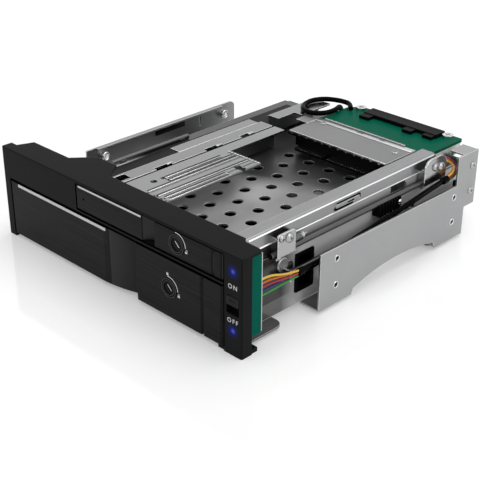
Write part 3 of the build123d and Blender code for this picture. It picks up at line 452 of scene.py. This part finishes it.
# Near-white plate for painted highlights.
highlight_plate = plated("painted_edge_highlight", 0.95, 0.4)
rod_steel = plated("ground_rod", 0.12, 0.3, 0.3)
lock_black = satin_black("lock_black", 0.002, 0.3)
# Black for painted shade in gaps, reveals and openings.
shade_black = satin_black("painted_shade_black", 0.0004, 0.7, specular=0.0)
lock_edge = plated("lock_edge", 0.08, 0.3, 0.20)
blue_lens = lit_blue("lit_blue_lens")
front_green = solder_mask("front_board_green", colour(0.0, 0.115, 0.08), colour(0.0, 0.15, 0.10),
                          "Z", "Y", 0.15)
rear_green = solder_mask("rear_board_green", colour(0.0, 0.105, 0.060), colour(0.0, 0.135, 0.076),
                         "X", "Y", 0.12)
black_moulding = moulded("black_moulding", grey(0.002), grey(0.005), 0.42, specular=0.045)
white_moulding = moulded("white_moulding", colour(0.64, 0.64, 0.63), colour(0.80, 0.80, 0.79), 0.45)
black_film = moulded("insulating_film", grey(0.003), grey(0.007), 0.4, 600.0, 0.02, 0.06)
rail_black = moulded("rail_black", grey(0.006), grey(0.012), 0.5, specular=0.1)
black_rubber = moulded("black_rubber", grey(0.0015), grey(0.004), 0.62, 1300.0, 0.02, 0.03)
cable_black = jacket("cable_black", grey(0.0005), grey(0.0015), 0.25, 0.03)
ink_white = printed_white("printed_white")
wire_yellow = jacket("wire_yellow", colour(0.72, 0.44, 0.05), colour(0.86, 0.58, 0.09))
wire_orange = jacket("wire_orange", colour(0.50, 0.13, 0.015), colour(0.64, 0.20, 0.03))
wire_red = jacket("wire_red", colour(0.30, 0.02, 0.03), colour(0.46, 0.05, 0.07))
wire_blue = jacket("wire_blue", colour(0.018, 0.014, 0.12), colour(0.045, 0.035, 0.22))
wire_green = jacket("wire_green", colour(0.02, 0.22, 0.035), colour(0.05, 0.38, 0.07))

NODE_FINISHES = {
    "bezel": black_frame, "door_hinge_pin": bright_plate, "led_lenses": blue_lens,
    "lower_door_panel": black_door, "lower_door_trim": silver_strip,
    "lower_door_handle": black_door, "lower_handle_pin": bright_plate,
    "lower_lock_ring": lock_black, "lower_lock_cylinder": lock_black,
    "upper_door_panel": black_door, "upper_door_trim": silver_strip,
    "upper_door_handle": black_door, "upper_handle_pin": bright_plate,
    "upper_lock_ring": lock_black, "upper_lock_cylinder": lock_black,
    "switch_knob": black_knob, "switch_body": black_moulding, "front_board": front_green,
    "front_wire_socket": white_moulding, "lower_tray": tray_steel, "deck": deck_steel,
    "bay_divider": divider_steel, "side_top_plate": cage_steel, "rear_side_plate": cage_steel,
    "insulation_sheet": black_film, "stiffener_rod": rod_steel, "drive_rails": rail_black,
    "upper_board": rear_green, "board_posts": cage_steel, "board_screws": bright_plate,
    "cross_plate": plate_steel, "upper_socket": black_moulding, "edge_connector": black_moulding,
    "rear_wire_plug": white_moulding, "backplane": rear_green, "lower_socket": black_moulding,
    "host_ports": black_moulding, "power_inlet": white_moulding, "right_bracket": bracket_steel,
    "left_bracket": dim_steel, "feet": black_rubber, "front_guide_bracket": guide_steel,
    "rear_guide_bracket": guide_steel, "guide_screws": bright_plate,
    "return_spring": bright_plate, "upper_eject_rod": rod_steel, "lower_eject_rod": rod_steel,
    "lower_rod_guides": guide_steel, "upper_rod_guide": black_moulding,
    "guide_rivet": guide_steel, "grommet": black_rubber,
    "cable_sleeve": cable_black, "loop_cable": cable_black, "yellow_wire": wire_yellow,
    "orange_wire": wire_orange, "red_wire": wire_red, "blue_wire": wire_blue,
    "green_wire": wire_green,
}


def paint_nodes():
    """Gives every CAD node its finish."""
    for name, finish in NODE_FINISHES.items():
        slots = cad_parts[name].material_slots
        if not slots:
            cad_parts[name].data.materials.append(finish)
        for slot in slots:
            slot.material = finish


# Mesh helpers, in millimetres

def add_piece(name, shape, finish, body):
    """Makes a finished bmesh an object that rides on a body."""
    bmesh.ops.recalc_face_normals(shape, faces=shape.faces)
    shape.transform(to_model())
    mesh = bpy.data.meshes.new(name)
    shape.to_mesh(mesh)
    shape.free()
    return add_mesh(name, mesh, finish, body)


def add_mesh(name, mesh, finish, body, smooth_angle=35.0):
    """Links a mesh that is already in the model's place."""
    mesh.materials.clear()
    mesh.materials.append(finish)
    mesh.shade_smooth()
    mesh.set_sharp_from_angle(angle=math.radians(smooth_angle))
    piece = bpy.data.objects.new(name, mesh)
    bpy.context.collection.objects.link(piece)
    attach(piece, body)
    return piece


def block(shape, low, high, bevel=0.1, segments=2):
    """A block between two corners, with its edges rounded."""
    low, high = Vector(low), Vector(high)
    verts = bmesh.ops.create_cube(shape, size=1.0)["verts"]
    bmesh.ops.scale(shape, vec=high - low, verts=verts)
    bmesh.ops.translate(shape, vec=(low + high) / 2, verts=verts)
    if bevel:
        edges = list({edge for vert in verts for edge in vert.link_edges})
        bmesh.ops.bevel(shape, geom=edges, offset=bevel, segments=segments, profile=0.5,
                        affect="EDGES", material=-1)


def turned(shape, outline, origin, axis, steps=24):
    """An outline of radius and height pairs, spun around an axis."""
    origin, axis = Vector(origin), Vector(axis).normalized()
    side = axis.orthogonal().normalized()
    before = set(shape.verts)
    verts = [shape.verts.new(origin + side * radius + axis * height) for radius, height in outline]
    edges = [shape.edges.new(pair) for pair in zip(verts, verts[1:])]
    bmesh.ops.spin(shape, geom=verts + edges, cent=origin, axis=axis, angle=FULL_TURN,
                   steps=steps, use_merge=True)
    fresh = [vert for vert in shape.verts if vert not in before]
    bmesh.ops.remove_doubles(shape, verts=fresh, dist=1e-4)


def hoop(shape, origin, axis, radius, wire, steps=32, sides=8):
    """A thin ring of round wire."""
    outline = []
    for number in range(sides + 1):
        angle = FULL_TURN * number / sides
        outline.append((radius + wire * math.cos(angle), wire * math.sin(angle)))
    turned(shape, outline, origin, axis, steps)


def arc_band(shape, centre, depth, radius, width, height, start, end):
    """A flat curved band on a front face, from one clock angle to another in degrees."""
    first = math.radians(start)
    across = Vector((math.cos(first), 0, math.sin(first)))
    middle = Vector((centre[0], depth, centre[1]))
    inner, outer = middle + across * (radius - width / 2), middle + across * (radius + width / 2)
    rise = Vector((0, -height, 0))
    verts = [shape.verts.new(corner) for corner in (inner, outer, outer + rise, inner + rise)]
    edges = [shape.edges.new(pair) for pair in zip(verts, verts[1:] + verts[:1])]
    bmesh.ops.spin(shape, geom=verts + edges, cent=middle, axis=REARWARD,
                   angle=math.radians(start - end), steps=14)
    bmesh.ops.holes_fill(shape, edges=[edge for edge in shape.edges if edge.is_boundary])


def baked_mesh(name, data):
    """The mesh that a curve or a text makes."""
    holder = bpy.data.objects.new(name, data)
    bpy.context.collection.objects.link(holder)
    bpy.context.view_layer.update()
    mesh = bpy.data.meshes.new_from_object(holder.evaluated_get(bpy.context.evaluated_depsgraph_get()))
    bpy.data.objects.remove(holder)
    return mesh


def tube(name, runs, radius, finish, body, sides=3):
    """Smooth round cords through several routes of points."""
    line = bpy.data.curves.new(name, "CURVE")
    line.dimensions = "3D"
    line.bevel_depth = radius * MM
    line.bevel_resolution = sides
    line.use_fill_caps = True
    line.resolution_u = 10
    for points in runs:
        spline = line.splines.new("NURBS")
        spline.points.add(len(points) - 1)
        for point, place in zip(spline.points, points):
            point.co = (*(to_model() @ Vector(place)), 1.0)
        spline.order_u = 3
        spline.use_endpoint_u = True
    return add_mesh(name, baked_mesh(name + "_line", line), finish, body, 60.0)


def lettering(name, words, height, centre, finish, body):
    """Raised letters on a front face, readable from the front."""
    font = bpy.data.curves.new(name, "FONT")
    font.body = words
    font.align_x = "CENTER"
    font.align_y = "CENTER"
    font.size = height
    font.extrude = 0.03
    font.offset = 0.02
    font.space_character = 1.35
    font.resolution_u = 4
    mesh = baked_mesh(name + "_words", font)
    upright = Matrix.Rotation(math.radians(90), 4, "X")
    mesh.transform(to_model() @ Matrix.Translation(centre) @ upright)
    return add_mesh(name, mesh, finish, body)


# Front

def lock_marks(prefix, icons):
    """The printed arc beside a lock, with small padlock signs near its ends."""
    lock_x, lock_z = LOCKS[prefix]
    ink = 0.03
    shape = bmesh.new()
    arc_band(shape, (lock_x, lock_z), 0.0, 5.0, 0.36, ink, 97, 0)
    for angle, reach, opened in icons:
        turn = math.radians(angle)
        sign_x = lock_x + reach * math.cos(turn)
        sign_z = lock_z + reach * math.sin(turn)
        block(shape, (sign_x - 0.6, -ink, sign_z - 0.75), (sign_x + 0.6, 0.0, sign_z + 0.1), 0)
        lift = 0.25 if opened else 0.0
        arc_band(shape, (sign_x + lift, sign_z + 0.1 + lift), 0.0, 0.42, 0.2, ink, 180, 0)
    add_piece(f"{prefix}_lock_marks", shape, ink_white, f"{prefix}_handle")


def lock_details(prefix):
    """The two beads around a lock's collar and the bright shutter in its keyway."""
    lock_x, lock_z = LOCKS[prefix]
    bead = bmesh.new()
    for radius, wire, steps in ((4.0, 0.1, 48), (3.05, 0.07, 40)):
        hoop(bead, (lock_x, -0.2, lock_z), FORWARD, radius, wire, steps)
    add_piece(f"{prefix}_lock_bead", bead, lock_edge, f"{prefix}_handle")
    shutter = bmesh.new()
    block(shutter, (-0.34, 0.0, -1.6), (0.34, 0.5, 1.6), 0.08)
    turn = Matrix.Rotation(math.radians(-45), 4, "Y")
    shutter.transform(Matrix.Translation((lock_x, 0.25, lock_z)) @ turn)
    add_piece(f"{prefix}_keyway_shutter", shutter, bright_plate, f"{prefix}_lock")


def front_marks():
    """The words beside the switch."""
    letter_height = 2.7
    for word, height in (("ON", 29.4), ("OFF", 14.9)):
        lettering(f"{word.lower()}_lettering", word, letter_height, (STRIP_X, 0.0, height), ink_white,
                  "cage")


def opening_shadows():
    """Painted shade: dark strips in the reveals around both door openings, on the bezel's face."""
    shape = bmesh.new()
    left, upper_left, right = -69.0, -21.41, 64.6
    low, high, side = 2.0, 41.2, 0.6
    reveals = (
        (left, right, 27.6, 28.5),
        (upper_left, right, 29.4, 30.1),
        (left - side, left, low, 28.2),
        (upper_left - side, upper_left, 29.6, high),
        (right, right + 0.35, low, high),
        (upper_left, right, high, high + 0.25),
    )
    for low_x, high_x, low_z, high_z in reveals:
        block(shape, (low_x, -0.03, low_z), (high_x, 0.1, high_z), 0)
    add_piece("opening_shadows", shape, shade_black, "cage")


def switch_details():
    """Grip ridges on the knob."""
    ridges = bmesh.new()
    half_width, half_height = 2.4, 0.16
    for rise in (0.45, 1.3, 2.1, 2.95):
        block(ridges, (STRIP_X - half_width, -0.2, KNOB_LOW + rise - half_height),
              (STRIP_X + half_width, 0.05, KNOB_LOW + rise + half_height), 0.05)
    add_piece("knob_ridges", ridges, black_knob, "switch")


# Right side

def spring_coil():
    """The wire coil that stands for the plain sleeve among the solids."""
    centre = Vector((65.1, 36.5, 34.2))
    coil_radius, wire_radius, length = 1.24, 0.19, 4.2
    turns, steps = 6, 18
    shape = bmesh.new()
    ring = bmesh.ops.create_circle(shape, segments=8, radius=wire_radius)["verts"]
    bmesh.ops.translate(shape, vec=centre + Vector((coil_radius, 0, 0)), verts=ring)
    edges = list({edge for vert in ring for edge in vert.link_edges})
    bmesh.ops.spin(shape, geom=ring + edges, cent=centre, axis=REARWARD,
                   angle=FULL_TURN * turns, steps=steps * turns,
                   dvec=(0, length / (steps * turns), 0))
    bmesh.ops.holes_fill(shape, edges=[edge for edge in shape.edges if edge.is_boundary])
    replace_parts(add_piece("return_spring_coil", shape, coil_steel, "cage"),
                "return_spring")


def twin_cable():
    """Two thin cables, one above the other, where the solids have one sleeve."""
    route = [(69.4, 35.3, 21.6), (69.5, 42.0, 21.75), (69.5, 49.4, 21.9), (69.4, 66.0, 23.6),
             (69.5, 87.0, 25.4), (69.4, 110.5, 28.0), (69.4, 122.0, 29.4), (69.4, 131.9, 30.4)]
    runs = []
    for lift in (-0.8, 0.8):
        runs.append([(x + 0.3 * lift, y, z + lift) for x, y, z in route])
    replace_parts(tube("twin_cable", runs, 0.78, cable_black, "cage", 4), "cable_sleeve")


def cable_ends():
    """Shrunk sleeves where the coloured wires leave the cable."""
    shape = bmesh.new()
    outline = [(0.0, 0.0), (1.35, 0.0), (1.6, 0.3), (1.6, 3.4), (1.45, 3.7), (0.0, 3.7)]
    for depth, height in ((34.9, 21.6), (128.6, 30.1)):
        turned(shape, outline, (CABLE_X, depth, height), REARWARD, 20)
    add_piece("cable_end_sleeves", shape, cable_black, "cage")


def pan_head(heads, cuts, place, radius, rise):
    """A domed screw head on a face towards +X, with a small dark cross of painted shade in it."""
    outline = [(0.0, rise), (radius * 0.5, rise * 0.94), (radius * 0.8, rise * 0.74),
               (radius, rise * 0.3), (radius, 0.0), (0.0, 0.0)]
    turned(heads, outline, place, RIGHTWARD)
    seat, depth, height = place
    # Dark blocks of painted shade stand for the cross recess.
    for half_y, half_z in ((0.13, 0.62), (0.62, 0.13)):
        block(cuts, (seat + rise - 0.2, depth - half_y, height - half_z),
              (seat + rise + 0.02, depth + half_y, height + half_z), 0)


def side_screws():
    """The screws of both guide brackets and of the right bracket's rear ear."""
    heads, cuts = bmesh.new(), bmesh.new()
    for depth, height, radius in ((28.1, 38.0, 1.4), (32.6, 37.0, 2.1), (125.6, 37.2, 1.8),
                                  (130.0, 36.2, 2.0)):
        pan_head(heads, cuts, (GUIDE_FACE, depth, height), radius, 1.1)
    for height in (33.6, 21.4):
        pan_head(heads, cuts, (PLATE_FACE, 146.2, height), 1.9, 0.7)
    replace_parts(add_piece("guide_screw_heads", heads, screw_steel, "cage"), "guide_screws")
    add_piece("guide_screw_cross_shadows", cuts, shadow_steel, "cage")


def small_heads():
    """The rivet heads on the right wall and the pin in the ribbed guide block."""
    heads = bmesh.new()
    pin = [(0.0, 0.65), (0.7, 0.55), (1.15, 0.2), (1.15, 0.0), (0.0, 0.0)]
    front_rivet = [(0.0, 1.6), (0.8, 1.45), (1.3, 1.0), (1.3, 0.0), (0.0, 0.0)]
    rear_rivet = [(0.0, 2.4), (0.8, 2.3), (1.4, 1.8), (1.4, 0.0), (0.0, 0.0)]
    turned(heads, pin, (66.95, 101.9, 28.7), RIGHTWARD, 16)
    turned(heads, front_rivet, (RIGHT_WALL, 30.8, 27.7), RIGHTWARD, 20)
    turned(heads, rear_rivet, (RIGHT_WALL, 104.55, 27.4), RIGHTWARD, 20)
    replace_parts(add_piece("small_side_screws", heads, bright_plate, "cage"), "guide_rivet")


def ear_web():
    """The narrow web behind the right bracket's rear ear."""
    web = bmesh.new()
    block(web, (65.1, 139.7, 37.5), (65.5, 149.0, 39.7), 0.05)
    add_piece("ear_web", web, dim_steel, "cage")


def rivet_washer():
    """The flat disc on the right wall, under the front guide bracket."""
    washer = bmesh.new()
    outline = [(0.0, 0.62), (2.75, 0.62), (3.1, 0.3), (3.1, 0.0), (0.0, 0.0)]
    turned(washer, outline, (RIGHT_WALL, 33.5, 23.3), RIGHTWARD, 32)
    add_piece("rivet_washer", washer, disc_steel, "cage")


def hole_rims():
    """The bright rims of the right bracket's threaded holes."""
    shape = bmesh.new()
    for depth in HOLE_DEPTHS:
        for height in HOLE_HEIGHTS:
            hoop(shape, (PLATE_FACE + 0.02, depth, height), RIGHTWARD, 1.3, 0.26, 24)
    add_piece("right_bracket_hole_rims", shape, bright_plate, "cage")


def lance_shadow():
    """Painted shade: dark blocks in the gaps around the lance in the side wall's band."""
    shape = bmesh.new()
    inner = RIGHT_WALL - 0.7
    gaps = (
        (64.05, 78.75, 38.95, 39.45, 0.57),
        (63.2, 74.0, 36.5, 37.3, 1.16),
        (77.9, 78.75, 37.65, 39.35, 1.0),
        (70.5, 74.6, 37.7, 38.3, 1.13),
    )
    for start, end, low, high, reach in gaps:
        block(shape, (inner, start, low), (RIGHT_WALL + reach, end, high), 0)
    add_piece("lance_shadow", shape, shade_black, "cage")


def grommet_shadow():
    """Painted shade: a thin black plate that closes the cable opening."""
    web = bmesh.new()
    block(web, (RIGHT_WALL - 0.7, 42.5, 9.3), (RIGHT_WALL - 0.3, 49.9, 23.2), 0.05)
    add_piece("grommet_shadow", web, shade_black, "cage")


def side_bosses():
    """Bright drawn bosses around the left bracket's upper holes, and its dark pads."""
    bosses = bmesh.new()
    outline = [(1.5, 0.0), (2.3, 0.0), (2.3, 1.3), (2.05, 1.6), (1.75, 1.6), (1.5, 1.3), (1.5, 0.0)]
    for depth in HOLE_DEPTHS:
        turned(bosses, outline, (1.5 - PLATE_FACE, depth, HOLE_HEIGHTS[1]), RIGHTWARD)
    add_piece("left_bracket_bosses", bosses, bright_plate, "cage")
    pads = bmesh.new()
    inner = 0.79 - PLATE_FACE
    block(pads, (inner, 87.2, 22.4), (inner + 0.25, 106.8, 25.0), 0.05)
    block(pads, (inner, 57.0, 24.9), (inner + 0.12, 87.0, 25.3), 0.03)
    block(pads, (0.05 - PLATE_FACE, 117.25, 19.65), (0.5 - PLATE_FACE, 117.95, 24.75), 0)
    add_piece("left_bracket_pads", pads, black_film, "cage")


def band_highlights():
    """Painted highlights: bright rounded strips along the rolled edges of the side wall's upper band."""
    shape = bmesh.new()
    start, end, width = 14.0, 129.0, 0.65
    for low, reach in ((35.25, 0.35), (40.3, 0.3)):
        block(shape, (BAND_FACE - 0.3, start, low), (BAND_FACE + reach, end, low + width), 0.28, 3)
    add_piece("band_highlights", shape, highlight_plate, "cage")


# Boards

def connector_details():
    """Raised ribs on the black edge connector."""
    shape = bmesh.new()
    rib_width, pitch = 1.0, 2.15
    for number in range(18):
        left = 13.0 + number * pitch
        block(shape, (left, 149.6, 42.2), (left + rib_width, 151.8, 42.36), 0.05, 1)
    add_piece("edge_connector_ribs", shape, black_moulding, "cage")


def plate_lip():
    """The lips along the cross plate's rear and front edges, lightened as painted highlights, with dark
    blocks of painted shade for their small slots.
    """
    lip, slots = bmesh.new(), bmesh.new()
    block(lip, (0.6, 122.9, 41.15), (55.4, 125.95, 41.5), 0.1)
    block(lip, (0.4, 105.3, 40.6), (55.4, 105.7, 41.26), 0.06)
    add_piece("cross_plate_lip", lip, lip_steel, "cage")
    # Painted shade in the small slots.
    for left, width in ((24.0, 4.0), (37.0, 3.0)):
        block(slots, (left, 124.3, 41.4), (left + width, 124.8, 41.54), 0)
    for left, width in ((3.0, 2.0), (9.0, 2.5), (17.0, 2.0), (27.0, 3.0), (36.0, 2.0), (44.0, 2.5)):
        block(slots, (left, 105.2, 40.7), (left + width, 105.4, 41.1), 0)
    add_piece("cross_plate_slot_shadows", slots, shadow_steel, "cage")


def front_board_details():
    """Solder pads, dark blocks of painted shade in its gaps, and a pale strip of painted highlight along
    the front board's rear edge.
    """
    pads = bmesh.new()
    for height in (9.5, 11.2, 19.0, 20.2, 36.0, 38.0):
        block(pads, (72.5, 5.8, height), (72.58, 6.5, height + 0.7), 0)
    add_piece("front_board_pads", pads, silver_strip, "cage")
    # Painted shade in the gaps at the board's edge.
    gaps = bmesh.new()
    for depth, low, high in ((6.6, 16.0, 26.5), (6.1, 8.0, 12.5)):
        block(gaps, (72.4, 5.62, low), (72.54, depth, high), 0)
    add_piece("front_board_gap_shadows", gaps, shade_black, "cage")
    # Painted highlight along the board's rear edge.
    edge = bmesh.new()
    block(edge, (72.3, 11.85, 7.0), (72.56, 12.25, 40.4), 0.05)
    add_piece("front_board_edge_highlight", edge, white_moulding, "cage")


def upper_board_details():
    """A black strip with pads on the upper board's front edge, and a white rail under its right."""
    strip, pads = bmesh.new(), bmesh.new()
    block(strip, (-0.9, 105.9, 38.85), (55.6, 106.16, 40.3), 0)
    for number in range(12):
        left = 0.6 + 4.6 * number
        block(pads, (left, 105.82, 39.5), (left + 1.1, 106.0, 40.2), 0)
    add_piece("upper_board_strip", strip, black_moulding, "cage")
    add_piece("upper_board_pads", pads, bright_plate, "cage")
    rail = bmesh.new()
    for start, end in ((126.5, 132.8), (144.2, 153.4)):
        block(rail, (59.4, start, 36.4), (60.9, end, 38.78), 0.15)
    add_piece("upper_board_rail", rail, white_moulding, "cage")


def backplane_details():
    """Chips on the backplane's outer face, contacts in its ports and pins in its inlet."""
    chips = bmesh.new()
    for x, height, width, tall in ((-40.0, 17.0, 6.0, 6.0), (6.0, 12.0, 5.0, 5.0), (50.0, 10.0, 4.0, 7.0)):
        block(chips, (x, BACKPLANE_REAR, height), (x + width, BACKPLANE_REAR + 0.9, height + tall), 0.12)
    add_piece("backplane_chips", chips, black_moulding, "cage")
    pins = bmesh.new()
    outline = [(0.0, 2.6), (0.5, 2.4), (0.6, 2.0), (0.6, 0.0), (0.0, 0.0)]
    pin_pitch, contact_pitch = 5.3, 1.1
    for number in range(4):
        turned(pins, outline, (27.5 + number * pin_pitch, BACKPLANE_REAR + 0.2, 8.7), REARWARD, 16)
    for port_x in (-34.0, -12.0):
        for number in range(7):
            left = port_x + 3.0 + number * contact_pitch
            block(pins, (left, BACKPLANE_REAR + 0.8, 9.6), (left + 0.5, BACKPLANE_REAR + 2.6, 9.72), 0)
    add_piece("port_contacts", pins, bright_plate, "cage")


def socket_contacts():
    """Contact strips on the drive sockets' tongues, with a gap between their two groups."""
    shape = bmesh.new()
    pitch, gap_middle = 1.42, 11.5
    for left, tongue_depth, top in ((6.0, 107.3, 34.8), (-28.6, 154.1, 7.4)):
        for number in range(28):
            x = left + 1.0 + number * pitch
            if abs(number - gap_middle) > 1:
                block(shape, (x, tongue_depth - 4.2, top), (x + 0.6, tongue_depth + 0.1, top + 0.06), 0)
    add_piece("socket_contacts", shape, bright_plate, "cage")


# Sheets

def strip_beads():
    """The pressed beads of the ribbed strip: bright strips of painted highlight beside dark strips of
    painted shade in their grooves, and its tabs.
    """
    bright, dark = bmesh.new(), bmesh.new()
    low, high = TOP_FACE - 0.05, TOP_FACE + 0.42
    long_lines = ((-0.3, 30.0, 62.0), (2.6, 29.6, 67.0), (5.1, 16.0, 67.0), (10.9, 16.0, 67.0),
                  (14.1, 17.0, 51.0), (16.7, 17.0, 51.0))
    for x, start, end in long_lines:
        # Painted shade in each groove, and a painted highlight on each bead.
        block(dark, (x - 0.75, start, low), (x + 0.25, end, high), 0.04, 1)
        block(bright, (x + 0.27, start, low), (x + 0.75, end, high + 0.03), 0.08)
    for x, depth, width in ((-0.3, 30.0, 3.2), (14.1, 17.0, 3.0), (14.1, 51.0, 3.0)):
        block(bright, (x, depth - 0.3, low), (x + width, depth + 0.2, high + 0.03), 0.1)
        block(dark, (x, depth + 0.22, low), (x + width, depth + 0.5, high), 0.04, 1)
    tooth_pitch = 1.75
    for number in range(11):
        left = -1.6 + number * tooth_pitch
        block(bright, (left, 67.6, low), (left + 1.15, 68.5, high + 0.1), 0.1)
    for left, depth in ((-11.0, 42.4), (-10.6, 71.4), (-10.4, 91.4)):
        block(bright, (left, depth - 2.6, low - 0.5), (left + 1.3, depth + 0.6, high - 0.1), 0.15)
    add_piece("strip_bead_highlights_and_tabs", bright, guide_steel, "cage")
    add_piece("strip_bead_groove_shadows", dark, shadow_steel, "cage")


# Floor, lights and camera

def studio_floor():
    """A pale floor that the camera sees as white and that keeps the shadow."""
    shape = bmesh.new()
    bmesh.ops.create_grid(shape, x_segments=1, y_segments=1, size=4.0)
    mesh = bpy.data.meshes.new("studio_floor")
    shape.to_mesh(mesh)
    shape.free()
    floor = bpy.data.objects.new("studio_floor", mesh)
    bpy.context.collection.objects.link(floor)
    f = Finish("studio_white")
    seen = f.node("LightPath", out="Is Camera Ray") + f.node("LightPath", out="Is Glossy Ray")
    seen = (seen + f.node("LightPath", out="Is Transmission Ray")).held()
    mesh.materials.append(f.done(
        Base_Color=grey(0.84), Roughness=0.07, Specular_IOR_Level=0.5,
        Emission_Color=f.blend(seen, grey(0), grey(0.28)),
        Emission_Strength=1.0))


def studio_world():
    """Soft light all round, seen as white by the camera and in reflections."""
    world = bpy.data.worlds.new("studio")
    bpy.context.scene.world = world
    world.use_nodes = True
    tree = world.node_tree
    tree.nodes.clear()
    path = tree.nodes.new("ShaderNodeLightPath")
    seen = Signal(path.outputs["Is Camera Ray"]) + Signal(path.outputs["Is Glossy Ray"])
    seen = (seen + Signal(path.outputs["Is Transmission Ray"])).held()
    sky = tree.nodes.new("ShaderNodeBackground")
    ambient, extra_when_seen = 0.45, 0.6
    feed(sky.inputs["Color"], grey(1))
    feed(sky.inputs["Strength"], seen * extra_when_seen + ambient)
    output = tree.nodes.new("ShaderNodeOutputWorld")
    tree.links.new(sky.outputs[0], output.inputs["Surface"])


def lamp(name, place, target, size, power):
    """A square soft light that looks at a point, in metres."""
    data = bpy.data.lights.new(name, "AREA")
    data.size = size
    data.energy = power
    holder = bpy.data.objects.new(name, data)
    bpy.context.collection.objects.link(holder)
    holder.location = place
    holder.rotation_mode = "QUATERNION"
    holder.rotation_quaternion = (Vector(target) - Vector(place)).to_track_quat("-Z", "Y")


def studio_camera():
    """The photo's camera: 82 mm lens, turned 44.7 degrees, looking 27.5 degrees down."""
    yaw, pitch, roll = math.radians(44.67), math.radians(27.53), math.radians(0.19)
    back = Vector((math.sin(yaw) * math.cos(pitch), -math.cos(yaw) * math.cos(pitch), math.sin(pitch)))
    level = Vector((math.cos(yaw), math.sin(yaw), 0))
    upward = back.cross(level)
    right = level * math.cos(roll) + upward * math.sin(roll)
    up = upward * math.cos(roll) - level * math.sin(roll)
    data = bpy.data.cameras.new("photo_camera")
    data.sensor_width = 36.0
    data.lens = 82.19
    data.clip_start = 0.02
    data.clip_end = 20.0
    holder = bpy.data.objects.new("photo_camera", data)
    bpy.context.collection.objects.link(holder)
    turn = Matrix((right, up, back)).transposed().to_4x4()
    holder.matrix_world = Matrix.Translation((0.3124, -0.32285, 0.2276)) @ turn
    bpy.context.scene.camera = holder


studio_camera()
studio_floor()
studio_world()
lamp("overhead_light", (0.05, 0.15, 0.9), (0, 0, 0.02), 0.9, 4.2)
lamp("right_light", (0.9, 0.1, 0.45), (0, 0, 0.03), 0.5, 1.6)
lamp("front_light", (-0.35, -0.9, 0.5), (0, 0, 0.02), 0.5, 0.9)

paint_nodes()
lock_marks("lower", ((96, 6.2, False), (-14, 5.7, True)))
lock_marks("upper", ((-12, 5.5, True),))
for door in LOCKS:
    lock_details(door)
front_marks()
opening_shadows()
switch_details()
spring_coil()
twin_cable()
cable_ends()
side_screws()
small_heads()
ear_web()
rivet_washer()
hole_rims()
lance_shadow()
grommet_shadow()
side_bosses()
band_highlights()
strip_beads()
plate_lip()
connector_details()
front_board_details()
upper_board_details()
backplane_details()
socket_contacts()

bpy.context.scene.view_settings.view_transform = "Standard"
